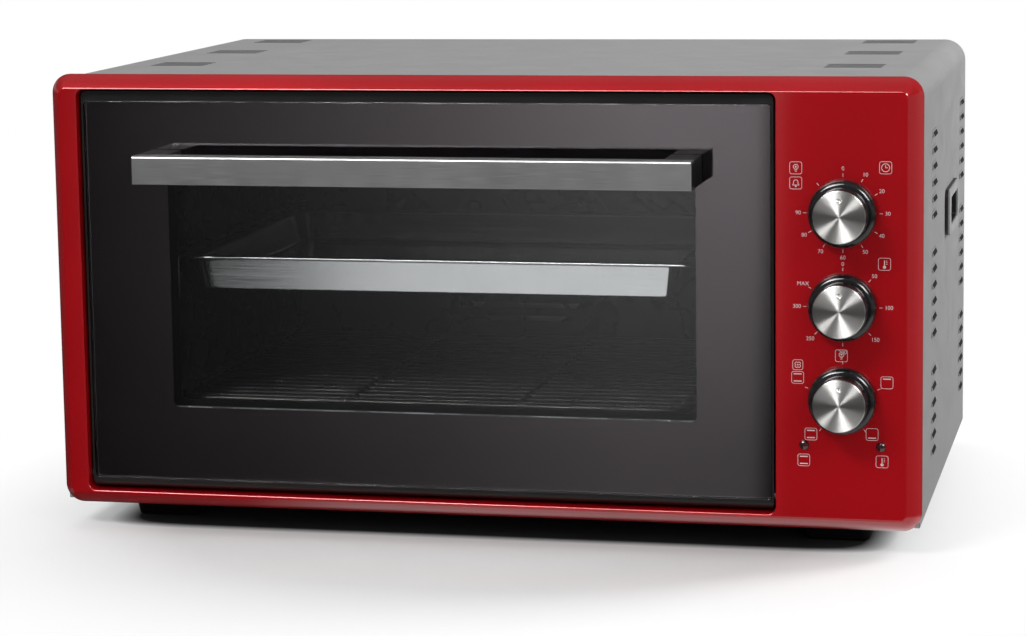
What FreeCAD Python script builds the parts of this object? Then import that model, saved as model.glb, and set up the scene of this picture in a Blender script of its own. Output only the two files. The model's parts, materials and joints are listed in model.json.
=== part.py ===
import FreeCAD, Part
import math
import os
from collections import namedtuple

# Countertop electric oven with a drop-down glass door and three dials.
# Millimetres. +X is to the user's right, +Y runs from the front to the back, +Z is up.
# All heights are measured from the surface that the feet stand on. Depths are measured
# from the flat front of the bezel, and save() moves the finished solids along Y, so that
# the origin ends at the middle of the foot print.

Vector = FreeCAD.Vector
Rect = namedtuple("Rect", "x0 x1 z0 z1")

# Whole oven
BEZEL_WIDTH = 575.0
BEZEL_HEIGHT = 289.0
FOOT_HEIGHT = 16.0
CASE_DEPTH = 380.0
SHEET = 0.8
OVERRUN = 4.0

# Clearances
SEAT_GAP = 0.3
RUNNING_GAP = 0.05
SLIP_GAP = 0.15

# Drawing limits: how near two places count as one, the least corner radius, and the
# largest one as a share of the side that it rounds
SAME_PLACE = 0.05
LEAST_CORNER = 0.08
CORNER_SHARE = 0.4975

# Front bezel
BEZEL_DEPTH = 14.0
BEZEL_WALL = 2.5
BEZEL_CORNER = 12.5
SLOPE_WIDTH = 8.6
SLOPE_DEPTH = 12.0
BEZEL_NOSE = 1.6
RIM_LEFT = 20.8
RIM_TOP = 9.0
RIM_BOTTOM = 10.8
PANEL_WIDTH = 91.5
OPENING_CORNER = 5.0
COLLAR_DEPTH = 28.2

# Casing, back panel and base pan
CASE_SIDE_STEP = 1.5
CASE_BOTTOM_STEP = 2.0
CASE_CORNER = 15.0
CASE_LIP = 12.0
LOUVRE_LENGTH = 28.0
LOUVRE_HEIGHT = 4.0
LOUVRE_REACH = 1.5
LOUVRE_SKIN = 0.7
LOUVRE_PITCH = 10.7
LOUVRES_IN_GROUP = 6
LOUVRE_GROUP_PITCH = 78.5
LOUVRE_DROP = 40.0
LOUVRE_LEAST_RISE = 25.0
LOUVRE_FRONT = 94.0
LOUVRE_REAR_INSET = 51.0
TOP_SLOT_LENGTH = 38.5
TOP_SLOT_WIDTH = 4.0
TOP_SLOT_EDGE = 34.0
TOP_SLOT_ROW_SHARES = (0.3263, 0.6421, 0.9395)
BACK_SLOT_LENGTH = 46.0
BACK_SLOT_HEIGHT = 4.0
BACK_SLOT_PITCH = 12.0
BACK_SLOTS = 8
BACK_SLOT_DROP = 73.5
BACK_SLOT_OFFSET = 200.0
PAN_FLANGE = 14.0
PAN_FRONT_FLANGE = 5.0
PAN_SLOT_LENGTH = 90.0
PAN_SLOT_WIDTH = 5.0
PAN_SLOT_PITCH = 14.0
PAN_SLOTS = 6
PAN_SLOT_OFFSET = 110.0
PAN_SLOT_FRONT = 160.0

# Screws of the casing
SCREW_HEAD = 3.8
SCREW_HEAD_THICK = 2.0
SCREW_SHANK = 1.9
SCREW_LENGTH = 9.0
SIDE_SCREW_SHARES = (0.154, 0.497, 0.841)
TOP_SCREW_OFFSET = 150.0

# Feet
FOOT_TOP_RADIUS = 25.0
FOOT_BOTTOM_RADIUS = 21.5
FOOT_EDGE = 1.5
FOOT_SIDE_INSET = 57.0
FOOT_FRONT = 70.0
FOOT_REAR_INSET = 50.0
FOOT_RECESS_RADIUS = 6.0
FOOT_RECESS_DEPTH = 9.0

# Cooking cavity
CAVITY_LEFT = 47.3
CAVITY_RIGHT = 55.3
CAVITY_SILL = 23.2
CAVITY_HEAD = 18.0
CAVITY_REAR_SPACE = 40.0
CAVITY_CORNER = 8.0
STAY_WIDTH = 60.0
STAY_DEPTH = 20.0
STAY_OFFSET = 120.0
STAY_SETBACK = 30.0

# Rack guides
GUIDE_SHEET = 1.0
GUIDE_REACH = 11.0
GUIDE_LEDGE = 1.5
GUIDE_FRONT = 48.0
GUIDE_REAR_GAP = 14.0
GUIDE_PLATE_MARGIN = 8.0
GUIDE_KEEPER_GAP = 1.5

# Baking tray
TRAY_RIM_DROP = 97.0
TRAY_RIM_THICK = 1.5
TRAY_DEPTH = 25.0
TRAY_WALL = 1.0
TRAY_SIDE_GAP = 4.0
TRAY_RIM_WIDTH = 9.5
TRAY_RIM_CORNER = 6.0
TRAY_DRAFT = 5.0
TRAY_FRONT = 38.0
TRAY_REAR_GAP = 30.0
TRAY_CORNER = 16.0

# Wire rack
RACK_RISE = 34.0
RACK_FRAME_WIRE = 2.5
RACK_CROSS_WIRE = 1.4
RACK_BAR_WIRE = 2.2
RACK_BAR_OFFSET = 58.0
RACK_CORNER = 18.0
RACK_WIRES = 19
SPARE_GUIDE_DROP = 53.0

# Heating elements
ELEMENT_RADIUS = 3.3
ELEMENT_LOWER_RISE = 15.0
ELEMENT_UPPER_DROP = 15.0
ELEMENT_FRONT = 100.0
ELEMENT_REAR_GAP = 50.0
ELEMENT_END_GAP = 26.0
ELEMENT_BEND = 24.0
ELEMENT_FLANGE_RADIUS = 6.5
ELEMENT_FLANGE_THICK = 1.5
ELEMENT_TAIL = 12.0
ELEMENT_PIN_RADIUS = 1.8
ELEMENT_PIN_LENGTH = 12.0

# Fan in the back wall
FAN_RISE = 88.0
FAN_RADIUS = 52.0
FAN_HUB_RADIUS = 9.0
FAN_BLADES = 8
FAN_BLADE_THICK = 1.0
FAN_DISC_THICK = 1.0
FAN_WIDTH = 12.0
FAN_SHAFT_RADIUS = 3.0
FAN_SHAFT_HOLE = 5.0
FAN_WALL_GAP = 5.0
FAN_COVER_RADIUS = 66.0
FAN_COVER_DEPTH = 24.0
FAN_COVER_FLANGE = 8.0
FAN_SLOT_WIDTH = 4.0
FAN_SLOT_PITCH = 10.0
FAN_SLOTS = 9
FAN_SLOT_EDGE = 10.0
MOTOR_RADIUS = 30.0
MOTOR_DEPTH = 26.0
MOTOR_PLATE = 40.0
MOTOR_PLATE_THICK = 2.0
SHAFT_SOCKET = 8.0

# Oven lamp in the back wall
LAMP_SIDE = 45.0
LAMP_DROP = 42.0
LAMP_RADIUS = 17.0
LAMP_DOME = 9.0
LAMP_FLANGE = 3.0
LAMP_FLANGE_THICK = 2.0
LAMP_GLASS = 2.0
LAMP_HOLDER_RADIUS = 14.0
LAMP_HOLDER_DEPTH = 24.0
BULB_RADIUS = 6.0

# Thermostat probe on the right wall
PROBE_RADIUS = 3.0
PROBE_LENGTH = 70.0
PROBE_FRONT = 90.0
PROBE_DROP = 32.0
PROBE_CLIP = 6.0
PROBE_OFF_WALL = 4.5

# Door
DOOR_GAP = 1.7
DOOR_FRONT = 5.0
DOOR_BACK = 26.0
DOOR_CORNER = 4.0
DOOR_FRAME_WALL = 2.0
DOOR_BACK_WALL = 1.2
DOOR_TOE = 5.0
DOOR_HEEL = 2.0
HINGE_RISE = 8.0
HINGE_DEPTH = 12.0
HINGE_PIN = 2.5
HINGE_ENTRY = 12.0
HINGE_BLOCK = 6.0
HINGE_BLOCK_SIZE = 13.0
HINGE_BOSS = 5.0
GLASS_FRONT = 4.0
GLASS_THICK = 4.0
GLASS_SIDE_INSET = 1.5
GLASS_END_INSET = 6.4
GLASS_CORNER = 3.0
WINDOW_LEFT = 58.0
WINDOW_RIGHT = 49.7
WINDOW_BOTTOM = 57.5
WINDOW_TOP = 54.3
WINDOW_CORNER = 4.0
INNER_GLASS_THICK = 3.0
INNER_GLASS_LAP = 12.0
RETAINER_LAP = 8.0
RETAINER_THICK = 1.0
SEAL_WIDTH = 6.0
SEAL_OFFSET = 2.0

# Door handle
HANDLE_LEFT = 49.0
HANDLE_RIGHT = 45.2
HANDLE_DROP = 38.4
HANDLE_BAR_HEIGHT = 18.5
HANDLE_REACH = 37.0
HANDLE_BAR_DEPTH = 11.0
HANDLE_BAR_SKIN = 1.8
HANDLE_BAR_EDGE = 0.9
HANDLE_BAR_FILLET = 0.81
HANDLE_POST_LENGTH = 20.0
HANDLE_END_CAP = 2.5
HANDLE_SCREW_RADIUS = 2.0
HANDLE_SCREW_HEAD = 4.0
HANDLE_SCREW_HEAD_THICK = 2.6
HANDLE_SCREW_DEPTH = 16.0

# Dials and what they turn
DIAL_SIDE = 49.0
DIAL_DROP_SHARES = (0.2924, 0.4974, 0.7024)
KNOB_RADIUS = 21.5
KNOB_NECK = 17.6
KNOB_TIP = 17.1
KNOB_BASE = 3.2
KNOB_SHOULDER = 5.0
KNOB_SHOULDER_STEPS = 5
KNOB_LENGTH = 20.5
KNOB_GAP = 0.8
KNOB_HOLLOW_WALL = 3.0
KNOB_HOLLOW = 12.0
KNOB_HUB = 6.0
KNOB_CAP_RADIUS = 16.6
KNOB_CAP_THICK = 1.8
KNOB_CAP_FILLET = 0.6
KNOB_CAP_SEAT = 0.5
KNOB_DIMPLE_RADIUS = 1.3
KNOB_DIMPLE_DEPTH = 0.8
KNOB_DIMPLE_PLACE = 10.5
SHAFT_RADIUS = 3.0
SHAFT_GRIP = 12.0
PANEL_HOLE = 5.0
CONTROL_BRACKET_FRONT = 20.0
CONTROL_BRACKET_TOP = 40.0
CONTROL_BRACKET_BOTTOM = 36.0
CONTROL_BRACKET_WING = 26.0
BUSH_RADIUS = 5.0
BUSH_LENGTH = 5.5
NUT_WIDTH = 14.0
NUT_THICK = 2.5
TIMER_SIZE = 46.0
TIMER_DEPTH = 30.0
THERMOSTAT_RADIUS = 20.0
THERMOSTAT_DEPTH = 24.0
SWITCH_SIZE = 38.0
SWITCH_DEPTH = 34.0
TERMINAL_TAB = 6.0
TERMINAL_TAB_THICK = 0.8

# Indicator lamps
INDICATOR_RISE_SHARE = 0.1958
INDICATOR_SPREAD = 24.3
INDICATOR_RADIUS = 3.2
INDICATOR_DOME = 2.2
INDICATOR_STEM = 2.5
INDICATOR_STEM_DEPTH = 8.0
INDICATOR_BODY_RADIUS = 3.5
INDICATOR_BODY_LENGTH = 22.0

# Side grips
GRIP_LENGTH = 84.5
GRIP_HEIGHT = 31.6
GRIP_REAR_INSET = 98.0
GRIP_DROP = 91.3
GRIP_PROUD = 3.5
GRIP_CORNER = 6.0
GRIP_BORDER_LONG = 13.5
GRIP_BORDER_HIGH = 6.0
GRIP_POCKET_DEPTH = 20.0
GRIP_WALL = 2.0
GRIP_POCKET_CORNER = 3.0
GRIP_RIB = 1.5
GRIP_RIB_DEPTH = 9.0

# Inside the control compartment
SHIELD_OFFSET = 38.0
SHIELD_FOOT = 12.0
SHIELD_TOP_GAP = 10.0
SHIELD_FRONT_GAP = 4.0
BLOCK_LENGTH = 44.0
BLOCK_DEPTH = 18.0
BLOCK_HEIGHT = 16.0
BLOCK_WAYS = 3
BLOCK_WELL_RADIUS = 3.2
BLOCK_WELL_DEPTH = 9.0
GLAND_SIDE = 58.0
GLAND_RISE = 42.0
GLAND_FLANGE_RADIUS = 11.0
GLAND_FLANGE_THICK = 3.0
GLAND_NOSE_RADIUS = 7.5
GLAND_NOSE_LENGTH = 5.0
GLAND_BODY_RADIUS = 8.0
GLAND_BODY_LENGTH = 9.0
GLAND_BORE = 3.75


def grow(rect, by):
    """The rectangle with every side moved outwards by one distance."""
    return Rect(rect.x0 - by, rect.x1 + by, rect.z0 - by, rect.z1 + by)


# Outlines that the pieces share, all seen from the front
BEZEL = Rect(-BEZEL_WIDTH / 2, BEZEL_WIDTH / 2, FOOT_HEIGHT, FOOT_HEIGHT + BEZEL_HEIGHT)
OPENING = Rect(
    BEZEL.x0 + RIM_LEFT,
    BEZEL.x1 - PANEL_WIDTH,
    BEZEL.z0 + RIM_BOTTOM,
    BEZEL.z1 - RIM_TOP,
)
CASE = Rect(
    BEZEL.x0 + CASE_SIDE_STEP,
    BEZEL.x1 - CASE_SIDE_STEP,
    BEZEL.z0 + CASE_BOTTOM_STEP,
    BEZEL.z1 - CASE_SIDE_STEP,
)
CAVITY = Rect(
    OPENING.x0 + CAVITY_LEFT,
    OPENING.x1 - CAVITY_RIGHT,
    OPENING.z0 + CAVITY_SILL,
    OPENING.z1 - CAVITY_HEAD,
)
DOOR = grow(OPENING, -DOOR_GAP)
GLASS = Rect(
    DOOR.x0 + GLASS_SIDE_INSET,
    DOOR.x1 - GLASS_SIDE_INSET,
    DOOR.z0 + GLASS_END_INSET,
    DOOR.z1 - GLASS_END_INSET,
)
WINDOW = Rect(
    DOOR.x0 + WINDOW_LEFT,
    DOOR.x1 - WINDOW_RIGHT,
    DOOR.z0 + WINDOW_BOTTOM,
    DOOR.z1 - WINDOW_TOP,
)
BAR = Rect(
    DOOR.x0 + HANDLE_LEFT,
    DOOR.x1 - HANDLE_RIGHT,
    DOOR.z1 - HANDLE_DROP - HANDLE_BAR_HEIGHT,
    DOOR.z1 - HANDLE_DROP,
)

# Depths and centres that follow from the sizes above
CASE_END = CASE_DEPTH - SHEET
CAVITY_BACK = CASE_DEPTH - CAVITY_REAR_SPACE
CAVITY_CENTRE = (CAVITY.x0 + CAVITY.x1) / 2
GLASS_BACK = GLASS_FRONT + GLASS_THICK
HINGE_HEIGHT = DOOR.z0 + HINGE_RISE
DIAL_X = BEZEL.x1 - DIAL_SIDE
DIAL_HEIGHTS = [BEZEL.z1 - share * BEZEL_HEIGHT for share in DIAL_DROP_SHARES]
INDICATOR_Z = BEZEL.z0 + INDICATOR_RISE_SHARE * BEZEL_HEIGHT
BRACKET_BACK = CONTROL_BRACKET_FRONT + SHEET
ELEMENT_LOWER = CAVITY.z0 + ELEMENT_LOWER_RISE
ELEMENT_UPPER = CAVITY.z1 - ELEMENT_UPPER_DROP
ELEMENT_REAR = CAVITY_BACK - ELEMENT_REAR_GAP
FAN_HEIGHT = CAVITY.z0 + FAN_RISE
PROBE_HEIGHT = CAVITY.z1 - PROBE_DROP
LAMP_X = CAVITY.x1 - LAMP_SIDE
LAMP_Z = CAVITY.z1 - LAMP_DROP
GLAND_X = CASE.x1 - GLAND_SIDE
GLAND_Z = CASE.z0 + GLAND_RISE
GUIDE_REAR = CAVITY_BACK - GUIDE_REAR_GAP
SPARE_GUIDE_HEIGHT = CAVITY.z1 - SPARE_GUIDE_DROP
TRAY_REAR = CAVITY_BACK - TRAY_REAR_GAP
TRAY_RIM_HEIGHT = CAVITY.z1 - TRAY_RIM_DROP
TRAY_SEAT = TRAY_RIM_HEIGHT - TRAY_RIM_THICK - SEAT_GAP
RACK_HEIGHT = CAVITY.z0 + RACK_RISE
RACK_SEAT = RACK_HEIGHT - RACK_FRAME_WIRE - SEAT_GAP
GRIP_REAR = CASE_DEPTH - GRIP_REAR_INSET
GRIP_TOP = CASE.z1 - GRIP_DROP
FRONT_MOST = -HANDLE_REACH
REAR_MOST = CASE_DEPTH + GLAND_FLANGE_THICK + GLAND_NOSE_LENGTH
ORIGIN_Y = (FRONT_MOST + REAR_MOST) / 2


# Plain shapes
def at_depth(y):
    """Places a point of an outline seen from the front at one depth."""
    return lambda u, v: Vector(u, y, v)


def at_height(z):
    """Places a point of an outline seen from above at one height."""
    return lambda u, v: Vector(u, v, z)


def at_side(x):
    """Places a point of an outline seen from the side at one X."""
    return lambda u, v: Vector(x, u, v)


def rounded_wire(u0, u1, v0, v1, radius, place):
    """Rectangle with quarter-circle corners; place turns two numbers into a point."""
    largest = CORNER_SHARE * min(u1 - u0, v1 - v0)
    radius = max(min(radius, largest), LEAST_CORNER)
    edges = []
    corners = [(u1, v0, -90), (u1, v1, 0), (u0, v1, 90), (u0, v0, 180)]
    arcs = []
    for u, v, start in corners:
        centre_u = u - radius if u == u1 else u + radius
        centre_v = v - radius if v == v1 else v + radius
        turns = [math.radians(start + part * 45) for part in range(3)]
        arcs.append([
            place(centre_u + radius * math.cos(turn), centre_v + radius * math.sin(turn))
            for turn in turns
        ])
    for n, arc in enumerate(arcs):
        edges.append(Part.Arc(*arc).toShape())
        edges.append(Part.LineSegment(arc[2], arcs[(n + 1) % 4][0]).toShape())
    return Part.Wire(edges)


def slab(rect, radius, y0, y1):
    """Plate with rounded corners, seen from the front, from one depth to another."""
    wire = rounded_wire(rect.x0, rect.x1, rect.z0, rect.z1, radius, at_depth(y0))
    return Part.Face(wire).extrude(Vector(0, y1 - y0, 0))


def block(x0, x1, y0, y1, z0, z1):
    """Box between two values on each axis."""
    return Part.makeBox(x1 - x0, y1 - y0, z1 - z0, Vector(x0, y0, z0))


def taper(rect_a, radius_a, y_a, rect_b, radius_b, y_b):
    """Solid whose rounded outline changes evenly from one depth to another."""
    first = rounded_wire(rect_a.x0, rect_a.x1, rect_a.z0, rect_a.z1, radius_a, at_depth(y_a))
    last = rounded_wire(rect_b.x0, rect_b.x1, rect_b.z0, rect_b.z1, radius_b, at_depth(y_b))
    return Part.makeLoft([first, last], True, True)


def peg(radius, x, z, y0, y1):
    """Round bar that runs along the depth."""
    return Part.makeCylinder(radius, y1 - y0, Vector(x, y0, z), Vector(0, 1, 0))


def cross_bar(radius, y, z, x0, x1):
    """Round bar that runs from left to right."""
    return Part.makeCylinder(radius, x1 - x0, Vector(x0, y, z), Vector(1, 0, 0))


def turned(profile, x, z):
    """Solid of revolution about the depth axis; profile lists radius and depth pairs."""
    points = [Vector(x + radius, depth, z) for radius, depth in profile]
    points.append(points[0])
    face = Part.Face(Part.makePolygon(points))
    return face.revolve(Vector(x, 0, z), Vector(0, 1, 0), 360)


def union(shapes):
    """One solid of all the shapes, with needless seams removed."""
    shapes = list(shapes)
    return shapes[0].fuse(shapes[1:]).removeSplitter()


def without(shape, tools):
    """The shape with every tool cut away."""
    return shape.cut(list(tools))


def screw(x, z, y_head, direction, length):
    """Pan-head screw along the depth; its head stands on y_head, its shank runs inwards."""
    head = Part.makeCylinder(
        SCREW_HEAD, SCREW_HEAD_THICK, Vector(x, y_head, z), Vector(0, -direction, 0)
    )
    shank = Part.makeCylinder(
        SCREW_SHANK, length, Vector(x, y_head, z), Vector(0, direction, 0)
    )
    return head.fuse(shank)



def save(name, shape):
    """Writes one piece, moved so that the origin lies under the middle of the oven."""
    placed = shape.copy()
    placed.translate(Vector(0, -ORIGIN_Y, 0))
    placed.exportStep("parts/" + name + ".step")


# Front bezel
def bezel_body(inset, front):
    """Solid inside of the bezel's outer skin: a straight skirt and a sloped border."""
    skirt = grow(BEZEL, -inset)
    slope_left = SLOPE_WIDTH * (1 - front / SLOPE_DEPTH)
    face = grow(skirt, -slope_left)
    corner = BEZEL_CORNER - inset
    straight = slab(skirt, corner, SLOPE_DEPTH, BEZEL_DEPTH)
    sloped = taper(face, corner - slope_left, front, skirt, corner, SLOPE_DEPTH)
    return straight.fuse(sloped).removeSplitter()


def soften_front(shape, y, radius):
    """Rounds the edges that lie flat on the plane at one depth."""
    edges = [
        edge for edge in shape.Edges
        if abs(edge.BoundBox.YMin - y) < SAME_PLACE and abs(edge.BoundBox.YMax - y) < SAME_PLACE
    ]
    return shape.makeFillet(radius, edges)


def indicator_places():
    """The two small lamps, left and right under the lowest dial."""
    return [DIAL_X - INDICATOR_SPREAD, DIAL_X + INDICATOR_SPREAD]


def hinge_bore(radius):
    """Bar along the door's pivot axis, as long as the whole door opening needs."""
    reach = BEZEL_WALL + HINGE_BLOCK
    return cross_bar(
        radius, HINGE_DEPTH, HINGE_HEIGHT, OPENING.x0 - reach, OPENING.x1 + reach
    )


def front_bezel():
    """Moulded front: sloped border, control panel and a collar round the door."""
    outer = soften_front(bezel_body(0, 0), 0, BEZEL_NOSE)
    hollow = bezel_body(BEZEL_WALL, BEZEL_WALL)
    shell = without(outer, [hollow])
    collar_rect = grow(OPENING, BEZEL_WALL)
    collar_corner = OPENING_CORNER + BEZEL_WALL
    collar_front = slab(collar_rect, collar_corner, 0, SLOPE_DEPTH).common(outer)
    collar_back = slab(collar_rect, collar_corner, SLOPE_DEPTH, COLLAR_DEPTH)
    tools = [slab(OPENING, OPENING_CORNER, -OVERRUN, COLLAR_DEPTH + OVERRUN)]
    for z in DIAL_HEIGHTS:
        tools.append(peg(PANEL_HOLE, DIAL_X, z, -OVERRUN, BEZEL_WALL + OVERRUN))
    for x in indicator_places():
        tools.append(
            peg(INDICATOR_STEM + SLIP_GAP, x, INDICATOR_Z, -OVERRUN, BEZEL_WALL + OVERRUN)
        )
    tools.append(hinge_bore(HINGE_PIN + RUNNING_GAP))
    return without(union([shell, collar_front, collar_back]), tools)


# Casing
def arch(rect, radius, y0, y1):
    """Plate with rounded top corners and square bottom corners."""
    middle = (rect.z0 + rect.z1) / 2
    lower = block(rect.x0, rect.x1, y0, y1, rect.z0, middle)
    return slab(rect, radius, y0, y1).fuse(lower).removeSplitter()


def louvre(side, y, z):
    """One pressed louvre: the slot to cut and the hood that stands out over it."""
    wall_outside = CASE.x1
    slot = block(
        wall_outside - SHEET - OVERRUN, wall_outside, y, y + LOUVRE_LENGTH, z, z + LOUVRE_HEIGHT
    )
    tip = wall_outside + LOUVRE_REACH
    top = z + LOUVRE_HEIGHT + LOUVRE_SKIN
    outer = [(wall_outside - SHEET / 2, z), (tip, z), (wall_outside - SHEET / 2, top)]
    hood = prism_along_depth(outer, y - LOUVRE_SKIN, y + LOUVRE_LENGTH + LOUVRE_SKIN)
    inner = [
        (wall_outside - SHEET - OVERRUN, z - LOUVRE_SKIN),
        (tip - LOUVRE_SKIN, z - LOUVRE_SKIN),
        (wall_outside - SHEET, z + LOUVRE_HEIGHT),
        (wall_outside - SHEET - OVERRUN, z + LOUVRE_HEIGHT),
    ]
    scoop = prism_along_depth(inner, y, y + LOUVRE_LENGTH)
    pieces = [slot, hood, scoop]
    if side < 0:
        pieces = [piece.mirror(Vector(0, 0, 0), Vector(1, 0, 0)) for piece in pieces]
    return pieces


def prism_along_depth(points, y0, y1):
    """Prism whose section is seen from the front, from one depth to another."""
    corners = [Vector(x, y0, z) for x, z in points]
    corners.append(corners[0])
    return Part.Face(Part.makePolygon(corners)).extrude(Vector(0, y1 - y0, 0))


def louvre_places():
    """Front edge and lower edge of every side louvre, in as many groups as fit."""
    highest = CASE.z1 - LOUVRE_DROP - LOUVRE_HEIGHT
    last_row = (LOUVRES_IN_GROUP - 1) * LOUVRE_PITCH
    room = highest - last_row - CASE.z0 - LOUVRE_LEAST_RISE
    groups = 1 + int(room / LOUVRE_GROUP_PITCH)
    places = []
    for group in range(groups):
        for row in range(LOUVRES_IN_GROUP):
            z = highest - group * LOUVRE_GROUP_PITCH - row * LOUVRE_PITCH
            places += [(LOUVRE_FRONT, z), (CASE_DEPTH - LOUVRE_REAR_INSET, z)]
    return places


def grip_outline(border_long, border_high):
    """Front, rear, bottom and top of the side grip, less a border."""
    return (
        GRIP_REAR - GRIP_LENGTH + border_long,
        GRIP_REAR - border_long,
        GRIP_TOP - GRIP_HEIGHT + border_high,
        GRIP_TOP - border_high,
    )


def grip_prism(side, border_long, border_high, radius, x0, x1):
    """Rounded block seen from the side, between two distances from the middle."""
    y0, y1, z0, z1 = grip_outline(border_long, border_high)
    wire = rounded_wire(y0, y1, z0, z1, radius, at_side(side * x0))
    return Part.Face(wire).extrude(Vector(side * (x1 - x0), 0, 0))


def grip_cup(side, clearance, x0, x1):
    """Outside of the grip's cup, with a clearance all round."""
    wall = GRIP_WALL + clearance
    return grip_prism(
        side, GRIP_BORDER_LONG - wall, GRIP_BORDER_HIGH - wall, GRIP_POCKET_CORNER + wall, x0, x1
    )


def casing_screw_places():
    """Where the screws go through the back panel, as X and height."""
    side_x = CASE.x1 - SHEET - CASE_LIP / 2
    height = CASE.z1 - CASE.z0
    side_heights = [CASE.z0 + share * height for share in SIDE_SCREW_SHARES]
    places = [(sign * side_x, z) for sign in (-1, 1) for z in side_heights]
    top_z = CASE.z1 - SHEET - CASE_LIP / 2
    places += [(x, top_z) for x in (-TOP_SCREW_OFFSET, 0, TOP_SCREW_OFFSET)]
    low_z = CASE.z0 + PAN_FLANGE / 2
    places += [(x, low_z) for x in (-TOP_SCREW_OFFSET, TOP_SCREW_OFFSET)]
    return places


def screw_holes(y0, y1):
    """Holes for the casing screws."""
    return [
        peg(SCREW_SHANK + SLIP_GAP, x, z, y0 - OVERRUN, y1 + OVERRUN)
        for x, z in casing_screw_places()
    ]


def top_slot_rows():
    """Depths of the vent slots in the top of the casing."""
    return [share * CASE_DEPTH for share in TOP_SLOT_ROW_SHARES]


def outer_casing():
    """Bent sheet over both sides and the top, with a lip that the back panel lies on."""
    inner = grow(CASE, -SHEET)
    deep = inner._replace(z0=CASE.z0 - OVERRUN)
    shell = without(
        arch(CASE, CASE_CORNER, BEZEL_DEPTH, CASE_END),
        [arch(deep, CASE_CORNER - SHEET, BEZEL_DEPTH - OVERRUN, CASE_END + OVERRUN)],
    )
    lip_hole = grow(inner, -CASE_LIP)._replace(z0=CASE.z0 - OVERRUN)
    lip_face = inner._replace(z0=CASE.z0 + PAN_FLANGE)
    lip = without(
        arch(lip_face, CASE_CORNER - SHEET, CASE_END - SHEET, CASE_END),
        [arch(lip_hole, CASE_CORNER - SHEET, CASE_END - OVERRUN, CASE_END + OVERRUN)],
    )
    tools = screw_holes(CASE_END - SHEET, CASE_END)
    hoods = []
    for side in (-1, 1):
        for y, z in louvre_places():
            slot, hood, scoop = louvre(side, y, z)
            hoods.append(hood)
            tools += [slot, scoop]
        tools.append(grip_cup(side, SLIP_GAP, CASE.x1 - SHEET - OVERRUN, CASE.x1 + OVERRUN))
        for y in top_slot_rows():
            edge = CASE.x1 - TOP_SLOT_EDGE
            ends = sorted((side * edge, side * (edge - TOP_SLOT_LENGTH)))
            slot_rect = (ends[0], ends[1], y - TOP_SLOT_WIDTH / 2, y + TOP_SLOT_WIDTH / 2)
            wire = rounded_wire(*slot_rect, TOP_SLOT_WIDTH / 2, at_height(CASE.z1 + OVERRUN))
            tools.append(Part.Face(wire).extrude(Vector(0, 0, -SHEET - 2 * OVERRUN)))
    return without(union([shell, lip] + hoods), tools)


def back_panel():
    """Flat sheet that closes the back, with vents and the hole for the cord gland."""
    tools = screw_holes(CASE_END, CASE_DEPTH)
    for side in (-1, 1):
        for n in range(BACK_SLOTS):
            z = CASE.z1 - BACK_SLOT_DROP - n * BACK_SLOT_PITCH
            middle = side * BACK_SLOT_OFFSET
            slot = Rect(
                middle - BACK_SLOT_LENGTH / 2, middle + BACK_SLOT_LENGTH / 2,
                z, z + BACK_SLOT_HEIGHT,
            )
            tools.append(
                slab(slot, BACK_SLOT_HEIGHT / 2, CASE_END - OVERRUN, CASE_DEPTH + OVERRUN)
            )
    tools.append(
        peg(GLAND_BODY_RADIUS + SLIP_GAP, GLAND_X, GLAND_Z, CASE_END - OVERRUN, CASE_DEPTH + OVERRUN)
    )
    return without(arch(CASE, CASE_CORNER, CASE_END, CASE_DEPTH), tools)


def foot_places():
    """Centres of the four feet, by name."""
    right = CASE.x1 - FOOT_SIDE_INSET
    rear = CASE_DEPTH - FOOT_REAR_INSET
    return {
        "front_left": (-right, FOOT_FRONT),
        "front_right": (right, FOOT_FRONT),
        "rear_left": (-right, rear),
        "rear_right": (right, rear),
    }


def upright(radius, x, y, z0, z1):
    """Round bar that stands upright."""
    return Part.makeCylinder(radius, z1 - z0, Vector(x, y, z0))


def base_pan():
    """Floor of the housing: a sheet with its four edges turned up, and vents."""
    x0 = CASE.x0 + SHEET
    x1 = CASE.x1 - SHEET
    floor = block(x0, x1, BEZEL_DEPTH, CASE_END, CASE.z0, CASE.z0 + SHEET)
    top = CASE.z0 + PAN_FLANGE
    left = block(x0, x0 + SHEET, BEZEL_DEPTH, CASE_END, CASE.z0, top)
    right = block(x1 - SHEET, x1, BEZEL_DEPTH, CASE_END, CASE.z0, top)
    rear = block(x0, x1, CASE_END - SHEET, CASE_END, CASE.z0, top)
    front = block(
        x0, x1, BEZEL_DEPTH, BEZEL_DEPTH + SHEET, CASE.z0, CASE.z0 + PAN_FRONT_FLANGE
    )
    tools = screw_holes(CASE_END - SHEET, CASE_END)
    for x, y in foot_places().values():
        tools.append(
            upright(SCREW_SHANK + SLIP_GAP, x, y, CASE.z0 - OVERRUN, CASE.z0 + SHEET + OVERRUN)
        )
    for side in (-1, 1):
        for n in range(PAN_SLOTS):
            y = PAN_SLOT_FRONT + n * PAN_SLOT_PITCH
            middle = side * PAN_SLOT_OFFSET
            wire = rounded_wire(
                middle - PAN_SLOT_LENGTH / 2, middle + PAN_SLOT_LENGTH / 2,
                y, y + PAN_SLOT_WIDTH, PAN_SLOT_WIDTH / 2, at_height(CASE.z0 - OVERRUN),
            )
            tools.append(Part.Face(wire).extrude(Vector(0, 0, SHEET + 2 * OVERRUN)))
    return without(union([floor, left, right, rear, front]), tools)


def casing_screws():
    """All the screws that hold the back panel, one solid each."""
    return Part.Compound([
        screw(x, z, CASE_DEPTH, -1, SCREW_LENGTH) for x, z in casing_screw_places()
    ])


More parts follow.
